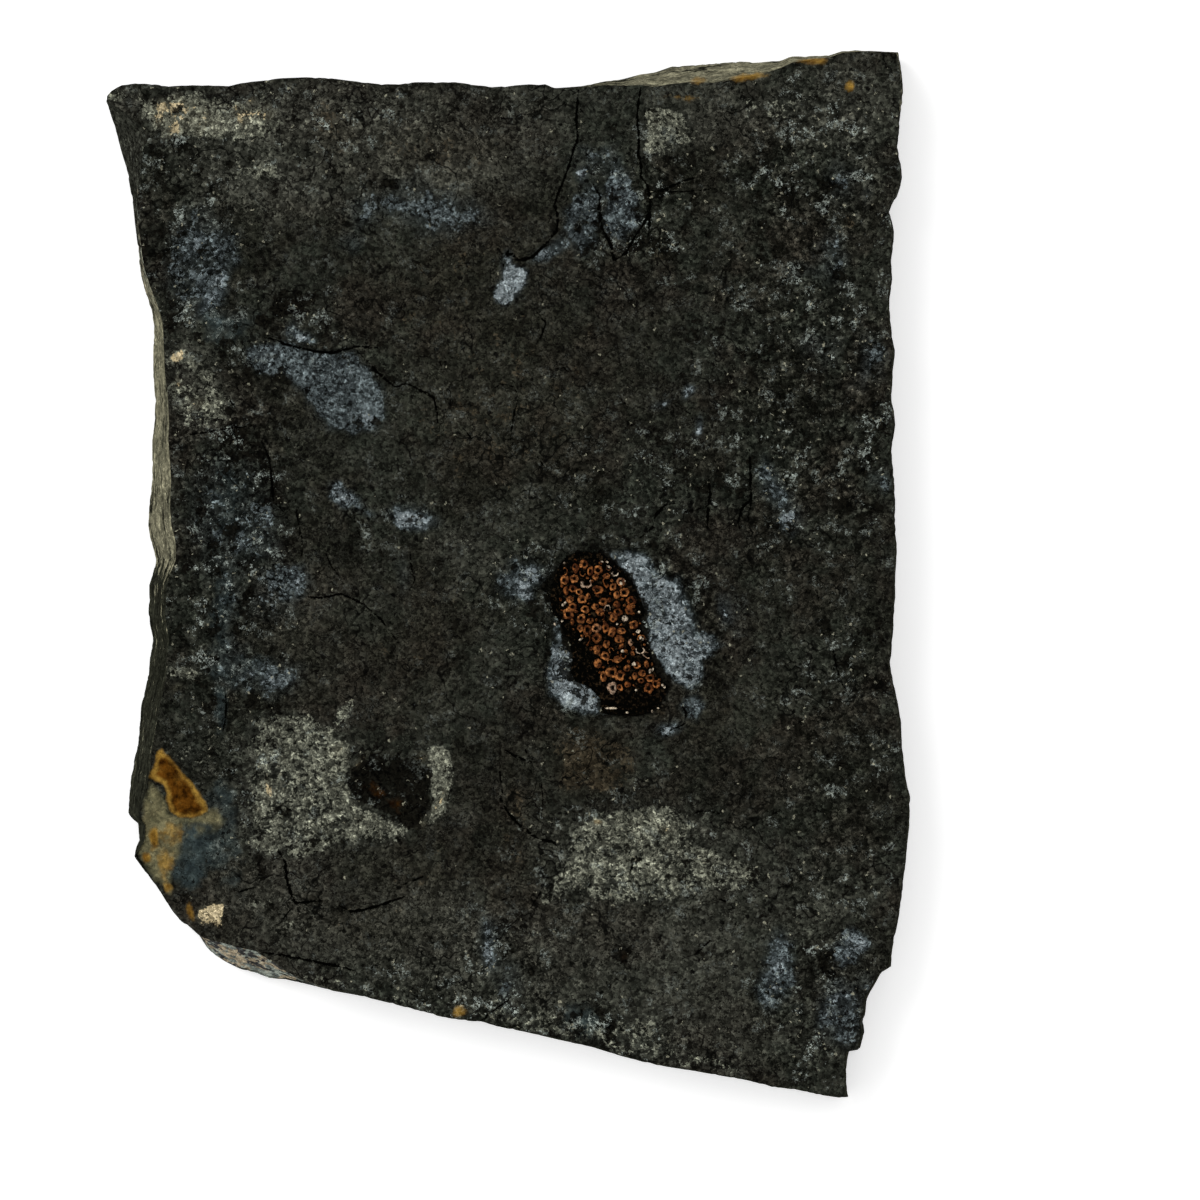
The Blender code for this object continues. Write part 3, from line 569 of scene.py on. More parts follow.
FROST_PATCHES = (
    (1.0, 3, FRESH_CHIP),
    (0.8, 4, ((608, 553), (643, 553), (650, 558), (656, 570), (667, 578), (678, 580), (681, 593),
              (686, 604), (690, 616), (695, 632), (712, 636), (718, 646), (710, 654), (702, 658),
              (701, 674), (695, 682), (688, 686), (677, 682), (668, 670), (658, 660), (650, 650),
              (647, 625), (645, 610), (640, 600), (632, 584), (622, 568), (612, 560))),
    (0.95, 4, ((553, 644), (566, 645), (573, 652), (576, 662), (575, 674), (584, 684), (598, 692),
               (600, 712), (582, 712), (562, 705), (552, 692), (548, 672), (553, 657))),
)
# Weathered pale shale, and its brightest crusts.
CREAM_BLOTS = (
    (774, 106, 34, 12, -10, 0.5, 10), (820, 100, 26, 14, 0, 0.45, 8), (178, 358, 8, 8, 0, 1.0, 3),
    (198, 402, 14, 12, 0, 0.7, 6), (184, 672, 14, 9, -20, 0.8, 5), (182, 600, 14, 20, 0, 0.25, 10),
    (342, 716, 13, 7, -35, 0.9, 5), (267, 790, 5, 10, 0, 1.0, 3), (486, 936, 8, 26, 0, 0.5, 8),
    (496, 1004, 22, 14, -30, 0.6, 8), (540, 1008, 24, 10, 0, 0.45, 8), (640, 1030, 24, 14, 20, 0.6, 8),
    (660, 1012, 14, 8, 0, 0.5, 8), (258, 172, 34, 18, 15, 0.6, 12), (308, 188, 22, 10, 0, 0.5, 10),
    (122, 96, 16, 8, 0, 0.6, 6), (260, 100, 40, 10, 0, 0.5, 10), (456, 966, 12, 30, 0, 0.35, 12),
    (404, 1002, 20, 8, 10, 0.5, 6), (322, 980, 40, 6, 12, 0.5, 6), (208, 440, 26, 4, -5, 0.35, 4),
    (300, 920, 34, 14, 0, 0.35, 10), (262, 900, 30, 14, 0, 0.35, 10), (190, 750, 16, 14, 0, 0.5, 8),
    (596, 108, 5, 12, 0, 0.35, 5), (820, 1040, 14, 10, 0, 0.35, 8), (206, 720, 12, 14, 0, 0.4, 8),
    (790, 515, 16, 16, 0, 0.5, 10), (470, 548, 44, 10, 32, 0.35, 10), (860, 150, 18, 30, 0, 0.35, 12),
    (400, 610, 30, 14, 0, 0.2, 12), (232, 964, 26, 9, 18, 0.9, 4), (700, 130, 20, 12, 0, 0.4, 8),
)
CREAM_PATCHES = (
    (0.95, 9, ((132, 100), (165, 94), (215, 97), (258, 106), (280, 124), (262, 138), (236, 140),
               (212, 136), (188, 144), (160, 134), (146, 118))),
    (0.8, 5, ((644, 112), (666, 110), (690, 118), (700, 132), (684, 146), (660, 156), (645, 150))),
    (0.75, 6, ((572, 834), (598, 812), (630, 808), (656, 802), (688, 812), (694, 842), (740, 860),
               (770, 882), (735, 890), (700, 888), (680, 902), (620, 903), (575, 890), (548, 902),
               (540, 896), (562, 862))),
    (0.95, 5, ((590, 822), (620, 814), (655, 808), (676, 822), (668, 842), (634, 850), (600, 846))),
    (0.72, 8, ((248, 722), (290, 710), (328, 722), (352, 762), (346, 802), (372, 815), (410, 822),
               (402, 838), (350, 842), (300, 860), (256, 850), (246, 800), (254, 760))),
    (0.95, 5, ((324, 736), (348, 744), (358, 752), (350, 762), (346, 784), (352, 803),
               (380, 811), (402, 826), (396, 834), (360, 828), (336, 812), (318, 784))),
    (0.95, 4, ((424, 750), (440, 742), (450, 752), (450, 796), (442, 816), (428, 826), (434, 800),
               (428, 776))),
    (0.6, 5, ((490, 1020), (560, 1037), (640, 1055), (746, 1079), (744, 1066), (690, 1052),
              (620, 1030), (560, 1016), (500, 1006))),
    (0.55, 8, ((164, 347), (198, 350), (216, 370), (232, 400), (226, 425), (192, 430),
               (170, 412), (164, 376))),
)
BRIGHT_BLOTS = (
    (178, 357, 6, 6, 0, 0.9, 3), (268, 788, 4, 8, 0, 0.9, 3),
    (180, 383, 6, 6, 0, 0.5, 4), (200, 404, 8, 4, 0, 0.6, 4), (250, 976, 10, 4, 20, 0.6, 4),
    (292, 980, 10, 3, 10, 0.6, 3), (667, 826, 6, 6, 0, 0.6, 4), (262, 112, 10, 6, 0, 0.6, 4),
    (176, 688, 4, 3, 0, 0.4, 3), (338, 752, 6, 5, 0, 0.6, 4), (162, 104, 8, 7, 0, 0.8, 4),
    (176, 106, 7, 8, 0, 0.8, 4), (160, 118, 6, 7, 0, 0.8, 3), (177, 131, 9, 7, 20, 0.8, 4),
    (204, 116, 8, 6, 0, 0.7, 4), (236, 114, 12, 9, 30, 0.6, 5), (190, 122, 22, 14, 0, 0.45, 8),
    (360, 764, 2.5, 10, 35, 0.8, 2.5), (440, 800, 3, 12, 25, 0.7, 3), (418, 823, 8, 4, 0, 0.5, 3),
    (421, 758, 4, 4, 0, 0.6, 3), (240, 124, 4, 4, 0, 0.8, 3), (250, 100, 3, 4, 30, 0.8, 2.5),
)
BRIGHT_PATCHES = (
    (1.0, 1.5, ((199, 908), (212, 902), (226, 902), (221, 914), (221, 928), (212, 924),
                (202, 926), (198, 916))),
)
# Iron stains at the left, and the olive and dark teal shale round them.
OCHRE_BLOTS = (
    (156, 840, 5, 11, 5, 0.95, 3), (175, 837, 9, 9, 0, 0.55, 4), (148, 858, 5, 4, 20, 0.95, 2.5),
    (169, 860, 8, 9, -20, 0.5, 4), (168, 886, 5, 4, -20, 0.85, 3), (165, 874, 6, 8, 0, 0.3, 4),
    (192, 912, 3, 8, -10, 0.75, 3), (460, 1011, 6, 6, 0, 0.5, 4), (684, 98, 16, 3, 0, 0.3, 3),
    (850, 86, 3.5, 5, 0, 0.75, 2.5), (598, 822, 4, 3, 0, 0.35, 3), (696, 82, 7, 3, 0, 0.55, 3),
    (748, 77, 15, 3.5, -5, 0.7, 3), (812, 62, 12, 3, -5, 0.7, 3), (172, 770, 4, 12, -40, 0.5, 3),
)
OCHRE_PATCHES = (
    (1.0, 2.5, ((157, 750), (160, 748), (173, 761), (184, 772), (196, 785), (208, 801), (206, 810),
                (196, 816), (182, 818), (171, 810), (166, 798), (166, 786), (156, 780), (150, 778),
                (154, 764))),
)
OLIVE_PATCHES = (
    (1.0, 5, ((150, 784), (160, 792), (168, 812), (186, 820), (206, 812), (214, 806), (224, 822),
              (214, 834), (186, 842), (178, 858), (170, 892), (160, 884), (142, 858), (138, 846),
              (142, 818), (146, 800))),
)
TEAL_BLOTS = (
    (224, 806, 12, 22, 0, 0.55, 10), (208, 850, 14, 18, 20, 0.6, 9), (190, 870, 15, 14, 0, 0.8, 8),
    (190, 880, 12, 7, 0, 0.9, 4), (232, 846, 14, 20, 0, 0.35, 10), (221, 708, 5, 24, 0, 0.7, 4),
    (194, 850, 20, 22, 0, 0.7, 8),
    (222, 610, 12, 44, 0, 0.45, 12), (236, 668, 22, 14, 0, 0.4, 10), (228, 500, 14, 30, 0, 0.4, 12),
    (232, 876, 14, 10, 0, 0.3, 8), (226, 326, 30, 14, 0, 0.4, 12), (576, 1024, 14, 18, 0, 0.5, 8),
)
RUST_BLOTS = (
    (155, 841, 2, 6, 0, 0.4, 3), (168, 887, 3, 3, 0, 0.5, 3), (376, 789, 12, 8, 30, 0.32, 5),
    (395, 806, 8, 7, 0, 0.3, 4), (619, 958, 7, 6, 0, 0.15, 5), (191, 914, 2, 6, 0, 0.4, 3),
)
RUST_PATCHES = (
    (0.85, 3, ((159, 757), (166, 756), (176, 767), (188, 781), (198, 794), (204, 806), (196, 812),
               (184, 815), (174, 809), (170, 794), (167, 781), (157, 775))),
)
# Shadowed and blackest places: pits, notches and the fossil's own bed.
DARK_BLOTS = (
    (236, 446, 26, 26, 0, 0.75, 12), (246, 606, 8, 26, 0, 0.8, 8), (178, 605, 10, 12, 0, 0.6, 7),
    (360, 532, 7, 14, 0, 0.7, 6), (250, 704, 30, 9, 0, 0.5, 10), (868, 430, 20, 60, 0, 0.4, 20),
    (858, 500, 24, 18, 0, 0.5, 12), (818, 718, 34, 22, 10, 0.6, 14), (612, 470, 9, 12, 0, 0.7, 7),
    (574, 1030, 5, 16, 0, 0.8, 5), (597, 1012, 5, 12, 0, 0.8, 5), (606, 1034, 18, 12, -20, 0.7, 7),
    (294, 310, 20, 18, 0, 1.0, 5), (282, 381, 12, 10, 0, 1.0, 5), (262, 872, 6, 12, 0, 1.0, 4),
    (619, 956, 13, 12, 0, 1.0, 5), (832, 968, 11, 18, -15, 1.0, 5), (128, 140, 22, 20, 40, 0.6, 10),
    (170, 150, 30, 9, 10, 0.6, 8), (830, 630, 16, 16, 0, 0.7, 8), (698, 858, 9, 6, 0, 0.6, 5),
    (232, 338, 40, 9, 0, 0.6, 9), (180, 316, 20, 20, 0, 0.5, 12), (581, 228, 5, 6, 0, 0.9, 4),
    (503, 562, 8, 7, 0, 0.6, 5), (222, 756, 26, 24, 30, 0.5, 16), (598, 149, 5, 5, 0, 0.6, 4),
    (390, 184, 6, 5, 0, 0.9, 4), (382, 413, 7, 7, 0, 0.5, 5), (797, 725, 14, 10, 0, 0.6, 8),
    (672, 190, 26, 50, 0, 0.5, 16), (650, 250, 30, 22, 0, 0.5, 12), (770, 250, 60, 34, 0, 0.4, 20),
    (800, 200, 30, 50, 0, 0.35, 20), (740, 330, 60, 50, 0, 0.3, 30), (850, 640, 30, 40, 0, 0.35, 16),
    (884, 690, 14, 20, 0, 0.5, 10), (230, 540, 8, 22, 0, 0.5, 8), (202, 560, 12, 50, 0, 0.4, 12),
    (215, 650, 10, 24, 0, 0.45, 8), (160, 200, 20, 40, 0, 0.35, 20), (400, 764, 26, 7, -10, 0.8, 5),
    (262, 322, 10, 8, 0, 0.6, 5), (600, 604, 5, 5, 0, 0.7, 4), (772, 1021, 9, 6, 0, 0.7, 5),
    (680, 1020, 5, 4, 0, 0.9, 3), (700, 470, 50, 30, 0, 0.3, 20), (540, 1030, 40, 8, 12, 0.3, 8),
    (272, 500, 9, 22, 0, 0.45, 8), (636, 242, 10, 18, 20, 0.7, 6), (430, 560, 6, 10, 0, 0.3, 6),
    (424, 786, 8, 22, -10, 0.9, 5), (362, 776, 6, 14, 20, 0.7, 5), (410, 810, 18, 6, -10, 0.7, 5),
    (314, 786, 2, 28, 0, 0.6, 2), (322, 820, 6, 3, 0, 0.6, 2), (332, 829, 6, 3, 0, 0.6, 2),
    (343, 840, 4, 5, 0, 0.6, 3), (270, 745, 10, 8, 0, 0.4, 6), (636, 864, 7, 9, 0, 0.55, 5),
    (500, 640, 80, 60, 0, 0.12, 40),
)
DARK_PATCHES = (
    (1.0, 3, ((347, 784), (353, 768), (364, 759), (382, 763), (402, 763), (420, 769), (428, 784),
              (432, 800), (430, 816), (422, 825), (408, 829), (396, 818), (380, 808), (362, 804),
              (352, 800))),
    (1.0, 6, ((556, 560), (562, 552), (600, 549), (612, 556), (628, 570), (640, 586), (648, 606),
              (650, 626), (654, 648), (662, 668), (672, 686), (672, 700), (656, 716), (604, 717),
              (596, 700), (584, 688), (570, 682), (566, 668), (568, 650), (560, 636), (550, 618),
              (546, 596), (550, 574))),
)
# Where the dark face is warmer.
BROWN_BLOTS = (
    (590, 760, 40, 34, 0, 0.8, 20), (470, 240, 60, 60, 0, 0.25, 40), (430, 300, 60, 50, 0, 0.3, 40),
    (500, 400, 90, 90, 0, 0.35, 60), (420, 640, 60, 80, 0, 0.25, 50), (515, 830, 24, 60, 0, 0.4, 20),
    (350, 920, 60, 20, 0, 0.3, 16), (440, 150, 50, 20, 0, 0.5, 20), (336, 130, 20, 20, 0, 0.5, 12),
    (420, 870, 50, 30, 0, 0.3, 30), (660, 712, 14, 8, 0, 0.6, 8), (278, 750, 22, 12, 0, 0.6, 8),
    (730, 700, 60, 40, 0, 0.2, 30), (330, 640, 40, 60, 0, 0.2, 30), (592, 333, 6, 6, 0, 0.6, 5),
    (660, 256, 8, 8, 0, 0.6, 5), (816, 256, 7, 6, 0, 0.6, 5), (846, 222, 6, 7, 0, 0.6, 5),
)
# Where weathering has left a thin pale grey film.
HAZE_BLOTS = (
    (330, 122, 120, 34, 0, 0.8, 30), (430, 160, 90, 40, 0, 0.7, 30), (270, 182, 70, 30, 10, 0.7, 24),
    (520, 120, 50, 30, 0, 0.45, 20), (720, 112, 60, 30, 0, 0.5, 24), (840, 110, 46, 40, 0, 0.5, 24),
    (130, 106, 16, 12, 0, 0.7, 8),
    (440, 936, 110, 50, 10, 0.5, 30), (560, 966, 70, 50, 10, 0.45, 30), (670, 936, 80, 50, 0, 0.4, 30),
    (700, 1020, 90, 44, 12, 0.45, 24), (800, 900, 70, 50, 0, 0.25, 30), (330, 940, 80, 30, 8, 0.5, 20),
    (280, 880, 60, 40, 0, 0.35, 24), (470, 556, 50, 16, 30, 0.3, 12), (210, 400, 30, 36, 0, 0.35, 14),
    (300, 800, 80, 70, 0, 0.35, 24), (640, 860, 110, 50, 0, 0.35, 20), (840, 1000, 40, 70, 0, 0.3, 20),
    (860, 160, 30, 70, 0, 0.2, 20), (300, 640, 60, 60, 0, 0.15, 30), (190, 370, 20, 40, 0, 0.4, 12),
)
# Where the face is rough, with more flecks and pits.
ROUGH_BLOTS = (
    (810, 400, 90, 160, 0, 0.9, 60), (820, 180, 80, 100, 0, 0.9, 50), (230, 540, 60, 200, 0, 0.9, 40),
    (180, 240, 60, 120, 0, 0.7, 40), (840, 780, 60, 160, 0, 0.6, 50), (300, 130, 180, 50, 0, 0.5, 40),
    (280, 780, 90, 90, 0, 0.5, 40), (640, 850, 110, 60, 0, 0.5, 40), (560, 1030, 200, 40, 15, 0.8, 30),
    (820, 1000, 70, 80, 0, 0.8, 30), (640, 220, 60, 70, 0, 0.7, 40), (500, 960, 80, 60, 0, 0.6, 40),
    (670, 620, 60, 80, 0, 1.0, 20), (570, 660, 30, 60, 0, 1.0, 20), (320, 340, 60, 40, 0, 0.5, 30),
    (680, 480, 100, 60, 0, 0.6, 40), (520, 580, 40, 40, 0, 0.6, 20), (380, 520, 50, 20, 0, 0.4, 20),
)

# How far, in pixels, a zone's border wanders at each point.
wander = np.stack((
    9 * roughness_at(photo, 34, 21.0) + 5 * roughness_at(photo, 12, 22.0) + 3 * tiny,
    9 * roughness_at(photo, 34, 31.0) + 5 * roughness_at(photo, 12, 32.0) + 3 * fine), 1)


def zone_cover(blots=(), patches=()):
    """How much of the bedding face a colour covers: the most that any of its zones gives."""
    cover = np.zeros(len(photo))
    for x, y, half_width, half_height, turn, most, soft in blots:
        reach = max(half_width, half_height) + soft + 30
        near = np.abs(photo - (x, y)).max(axis=1) < reach
        move = min(1.0, min(half_width, half_height) / 14)
        across, up = (photo[near] + wander[near] * move - (x, y)).T
        cosine, sine = math.cos(math.radians(turn)), math.sin(math.radians(turn))
        spread = np.hypot((across * cosine + up * sine) / half_width,
                          (up * cosine - across * sine) / half_height)
        gap = (spread - 1) * min(half_width, half_height)
        cover[near] = np.maximum(cover[near], most * ease(0.5 - gap / (2 * soft)))
    for most, soft, outline in patches:
        gap = outline_distance(photo + (0.1 + 0.05 * soft) * wander, outline)
        cover = np.maximum(cover, most * ease(0.5 - gap / (2 * soft)))
    return cover


# The sloping sides show paler, striped layers, strongest near the bedding face.
slope_left = (photo[:, 0] < 190) & (photo[:, 1] < 830)
slope_upper = (photo[:, 1] < 110) & (photo[:, 0] > 560)
slope_lower = (photo[:, 1] > 925) & (photo[:, 0] < 330)
pale_side = np.zeros(len(photo))
pale_side[slope_left] = np.interp(
    photo[slope_left, 1], (180, 215, 290, 340, 540, 575, 600, 830),
    (0.0, 0.35, 0.75, 0.95, 0.85, 0.4, 0.1, 0.0))
pale_side[slope_upper] = np.interp(
    photo[slope_upper, 0], (565, 650, 860, 890), (0.1, 0.9, 0.9, 0.4))
pale_side[slope_lower] = np.interp(
    photo[slope_lower, 0], (196, 210, 262, 300), (0.3, 0.95, 0.9, 0.4))
pale_side *= np.interp(points[:, 2], (0.1 * BEDDING, 0.55 * BEDDING), (0.45, 1.0))
striped = np.interp(photo[:, 1], (190, 320), (0.0, 1.0))
striped[slope_upper] = 1.0
striped[slope_lower] = 0.0
for name, values in {
    "striped": striped,
    "crack_gap": crack_edge_all,
    "cool": 1.05 * zone_cover(COOL_BLOTS, COOL_PATCHES),
    "frost": zone_cover(FROST_BLOTS, FROST_PATCHES),
    "cream": 1.1 * zone_cover(CREAM_BLOTS, CREAM_PATCHES),
    "haze": zone_cover(HAZE_BLOTS),
    "rough": zone_cover(ROUGH_BLOTS),
    "bright": zone_cover(BRIGHT_BLOTS, BRIGHT_PATCHES),
    "ochre": zone_cover(OCHRE_BLOTS, OCHRE_PATCHES),
    "olive": zone_cover((), OLIVE_PATCHES),
    "teal": zone_cover(TEAL_BLOTS),
    "rust": zone_cover(RUST_BLOTS, RUST_PATCHES),
    "dark": zone_cover(DARK_BLOTS, DARK_PATCHES),
    "brown": zone_cover(BROWN_BLOTS),
    "side_share": np.where(on_top, 0.0, 1.0),
    "pale_side": pale_side,
}.items():
    values[under] = NO_CRACK if name == "crack_gap" else 0.0
    attribute = slab_data.attributes.new(name, 'FLOAT', 'POINT')
    attribute.data.foreach_set("value", values.astype(np.float32))


def add(tree, kind, inputs=None, **settings):
    """Add a shader node, set its properties and fill or link its inputs."""
    made = tree.nodes.new(kind)
    for name, value in settings.items():
        setattr(made, name, value)
    for name, value in (inputs or {}).items():
        if isinstance(value, bpy.types.NodeSocket):
            tree.links.new(value, made.inputs[name])
        else:
            made.inputs[name].default_value = value
    return made


def math_node(tree, operation, *values):
    """A Math node's result."""
    return add(tree, "ShaderNodeMath", dict(enumerate(values)), operation=operation).outputs[0]


def screen_colour(*values):
    """A colour given as red, green and blue of 0 to 255 on a screen, made linear."""
    linear = [(c / 255 / 12.92 if c < 11 else ((c / 255 + 0.055) / 1.055) ** 2.4) for c in values]
    return (*linear, 1.0)


def mix_colour(tree, share, first, second, blend='MIX'):
    """Blend two colours by a share. Three plain numbers are a screen colour."""
    made = add(tree, "ShaderNodeMix", data_type='RGBA', blend_type=blend)
    for number, value in zip((0, 6, 7), (share, first, second)):
        if isinstance(value, bpy.types.NodeSocket):
            tree.links.new(value, made.inputs[number])
        else:
            plain = screen_colour(*value) if isinstance(value, tuple) else value
            made.inputs[number].default_value = plain
    return made.outputs[2]


def stipple_group():
    """A node group that turns a cover of 0 to 1 into specks that fill that share."""
    group = bpy.data.node_groups.new("stipple", 'ShaderNodeTree')
    for name in ("Cover", "Grain"):
        group.interface.new_socket(name, in_out='INPUT', socket_type='NodeSocketFloat')
    group.interface.new_socket("Mask", in_out='OUTPUT', socket_type='NodeSocketFloat')
    inputs = group.nodes.new("NodeGroupInput")
    outputs = group.nodes.new("NodeGroupOutput")
    total = math_node(group, 'ADD', inputs.outputs["Cover"], inputs.outputs["Grain"])
    mask = add(group, "ShaderNodeMapRange", {
        "Value": total, "From Min": 0.98, "From Max": 1.05}, interpolation_type='SMOOTHSTEP')
    group.links.new(mask.outputs["Result"], outputs.inputs["Mask"])
    return group


def attribute_value(tree, name):
    """Read one of the piece's own masks."""
    return add(tree, "ShaderNodeAttribute", attribute_name=name).outputs["Fac"]


def stretch(tree, value, low, high, to_low=0.0, to_high=1.0):
    """Spread a value between two limits over another span."""
    return add(tree, "ShaderNodeMapRange", {
        "Value": value, "From Min": low, "From Max": high,
        "To Min": to_low, "To Max": to_high}).outputs["Result"]


def times(tree, *values):
    """Multiply values."""
    product = values[0]
    for value in values[1:]:
        product = math_node(tree, 'MULTIPLY', product, value)
    return product


def start_material(piece, name):
    """Give a piece a new material: its node tree, its shader and the place on the piece."""
    material = bpy.data.materials.new(name)
    material.use_nodes = True
    piece.data.materials.append(material)
    tree = material.node_tree
    return tree, tree.nodes["Principled BSDF"], add(tree, "ShaderNodeTexCoord").outputs["Object"]


def noise_texture(tree, where, scale, detail, roughness):
    """A noise of a given fineness."""
    return add(tree, "ShaderNodeTexNoise", {
        "Vector": where, "Scale": scale, "Detail": detail, "Roughness": roughness})


def away_from_half(tree, value):
    """How far a noise value is from its middle, which draws thin winding lines."""
    return math_node(tree, 'ABSOLUTE', math_node(tree, 'SUBTRACT', value, 0.5))


def add_bump(tree, shader, height, strength, distance):
    """Raise the finest grain with a bump."""
    bump = add(tree, "ShaderNodeBump", {
        "Height": height, "Strength": strength, "Distance": distance})
    tree.links.new(bump.outputs["Normal"], shader.inputs["Normal"])


stipple = stipple_group()
tree, shader, where = start_material(slab, "dark shale with fresh flakes")

# The fine texture: broad tints, a grain, angular facets and grit down to 0.3 mm.
broad = noise_texture(tree, where, 95, 4, 0.62)
tints = add(tree, "ShaderNodeSeparateColor", {"Color": broad.outputs["Color"]})
grain = noise_texture(tree, where, 1500, 3, 0.8)
bend = add(tree, "ShaderNodeVectorMath", {
    0: grain.outputs["Color"], "Scale": 0.0011}, operation='SCALE')
bent = add(tree, "ShaderNodeVectorMath", {0: where, 1: bend.outputs["Vector"]}).outputs["Vector"]
facets = add(tree, "ShaderNodeTexVoronoi", {"Vector": bent, "Scale": 1300, "Randomness": 1.0})
grits = add(tree, "ShaderNodeTexVoronoi", {"Vector": bent, "Scale": 3600, "Randomness": 1.0})
facet_parts = add(tree, "ShaderNodeSeparateColor", {"Color": facets.outputs["Color"]})
grit_parts = add(tree, "ShaderNodeSeparateColor", {"Color": grits.outputs["Color"]})
clumps = noise_texture(tree, where, 480, 4, 0.7)
clump_parts = add(tree, "ShaderNodeSeparateColor", {"Color": clumps.outputs["Color"]})
grain_crisp = stretch(tree, grain.outputs["Fac"], 0.42, 0.58)
grain_even = math_node(tree, 'ADD', stretch(tree, clump_parts.outputs["Red"], 0.34, 0.66, 0, 0.62),
                       times(tree, grit_parts.outputs["Red"], 0.38))
grain_parts = add(tree, "ShaderNodeSeparateColor", {"Color": grain.outputs["Color"]})
fibres = stretch(tree, away_from_half(tree, grain_parts.outputs["Green"]), 0.034, 0.012)
sparks = math_node(
    tree, 'ADD', times(tree, fibres, 0.55), times(tree, grit_parts.outputs["Blue"], 0.5))
sparks = stretch(tree, sparks, 0.34, 0.95)
rough = attribute_value(tree, "rough")
dark_level = attribute_value(tree, "dark")

flaked = stretch(tree, clump_parts.outputs["Blue"], 0.46, 0.54)
colour = mix_colour(
    tree, stretch(tree, tints.outputs["Red"], 0.44, 0.56), (34, 35, 29), (41, 39, 33))
colour = mix_colour(
    tree, stretch(tree, tints.outputs["Green"], 0.46, 0.54, 0, 0.8), colour, (38, 41, 35))
colour = mix_colour(tree, times(tree, flaked, 0.5), colour, (47, 47, 41))
film = times(tree, attribute_value(tree, "haze"), stretch(tree, grain_even, 0, 1, 0.5, 1.3))
colour = mix_colour(tree, film, colour, (70, 70, 62))


def blend_zone(name, soft, low, high, bare=0.3, strength=1.0, share=0.35):
    """Lay a zone's soft tint and its brighter specks over the colour so far."""
    cover = attribute_value(tree, name)
    tinted = mix_colour(tree, times(tree, cover, share), colour, soft)
    made = add(tree, "ShaderNodeGroup", {
        "Cover": math_node(tree, 'SUBTRACT', cover, bare), "Grain": grain_even}, node_tree=stipple)
    depth = stretch(tree, math_node(tree, 'ADD', cover, grain_even), 0.95, 1.7, 0.15, 1)
    speck = times(tree, depth, stretch(tree, sparks, 0, 0.8, 0.22, 1.0))
    tint = mix_colour(tree, speck, low, high)
    return mix_colour(tree, times(tree, made.outputs["Mask"], strength), tinted, tint)


def soak_zone(name, tint, other):
    """Let a smooth stain of two mixed tints soak into the colour so far, with a ragged edge."""
    cover = attribute_value(tree, name)
    edge = math_node(
        tree, 'ADD', cover, stretch(tree, clump_parts.outputs["Red"], 0.3, 0.7, -0.3, 0.3))
    soaked = times(tree, stretch(tree, edge, 0.1, 0.8), stretch(tree, cover, 0.0, 0.25))
    share = stretch(tree, clump_parts.outputs["Blue"], 0.4, 0.6)
    mixed = mix_colour(tree, share, tint, other)
    return mix_colour(tree, soaked, colour, mixed)


colour = blend_zone("brown", (48, 43, 33), (50, 44, 33), (62, 52, 38), 0.1, 0.6, 0.6)
colour = blend_zone("cream", (56, 58, 52), (60, 62, 55), (150, 151, 132), 0.16, 0.95, 0.5)
colour = blend_zone("cool", (48, 54, 54), (50, 56, 57), (120, 131, 133), 0.2, 0.75, 0.8)

# Light and dark grains: gentle where the face is calm, and strong where it is rough.
calm = times(tree, stretch(tree, facet_parts.outputs["Red"], 0, 1, 0.9, 1.06),
             stretch(tree, grit_parts.outputs["Red"], 0, 1, 0.5, 1.42),
             stretch(tree, grain_crisp, 0, 1, 0.84, 1.12),
             stretch(tree, clump_parts.outputs["Green"], 0.42, 0.58, 0.86, 1.1))
wild = times(tree, stretch(tree, facet_parts.outputs["Red"], 0, 1, 0.86, 1.2),
             stretch(tree, grit_parts.outputs["Red"], 0, 1, 0.45, 1.6),
             stretch(tree, grain_crisp, 0, 1, 0.8, 1.2),
             stretch(tree, clump_parts.outputs["Green"], 0.42, 0.58, 0.84, 1.2),
             stretch(tree, facets.outputs["Distance"], 0.42, 0.66, 1.0, 0.5))
shade = add(tree, "ShaderNodeMix", {"Factor": rough}, data_type='FLOAT')
tree.links.new(calm, shade.inputs[2])
tree.links.new(wild, shade.inputs[3])
shade = shade.outputs[0]
shade_colour = add(tree, "ShaderNodeCombineColor", {"Red": shade, "Green": shade, "Blue": shade})
colour = mix_colour(tree, 1.0, colour, shade_colour.outputs["Color"], 'MULTIPLY')

colour = blend_zone("frost", (72, 80, 82), (76, 85, 88), (188, 198, 200), 0.14, 1.0, 0.35)
colour = soak_zone("olive", (86, 84, 62), (112, 106, 78))
colour = soak_zone("teal", (38, 46, 47), (58, 68, 67))
colour = blend_zone("bright", (120, 116, 96), (140, 126, 94), (250, 232, 190), 0.2)
colour = mix_colour(tree, 0.4, colour, shade_colour.outputs["Color"], 'MULTIPLY')

# Small pits and sunk places painted black as shade, fewer where the face is stained.
unstained = stretch(tree, math_node(
    tree, 'MAXIMUM', attribute_value(tree, "olive"), attribute_value(tree, "ochre")), 0, 0.7, 1, 0.1)
pit_size = times(tree, facet_parts.outputs["Green"], 0.42)
pits = math_node(tree, 'LESS_THAN', facets.outputs["Distance"], pit_size)
dark_or_rough = math_node(tree, 'ADD', dark_level, rough)
pit_crowd = math_node(tree, 'ADD', stretch(tree, tints.outputs["Blue"], 0.38, 0.65, 0.25, 0.7),
                      times(tree, dark_or_rough, 0.4))
pit_mask = times(
    tree, pits, math_node(tree, 'LESS_THAN', facet_parts.outputs["Blue"], pit_crowd), unstained)
colour = mix_colour(tree, times(tree, pit_mask, 0.85), colour, (7, 7, 6))
sunk = math_node(tree, 'ADD', times(tree, dark_level, 0.2), times(tree, rough, 0.025))
sunk = math_node(tree, 'SUBTRACT', clump_parts.outputs["Green"], sunk)
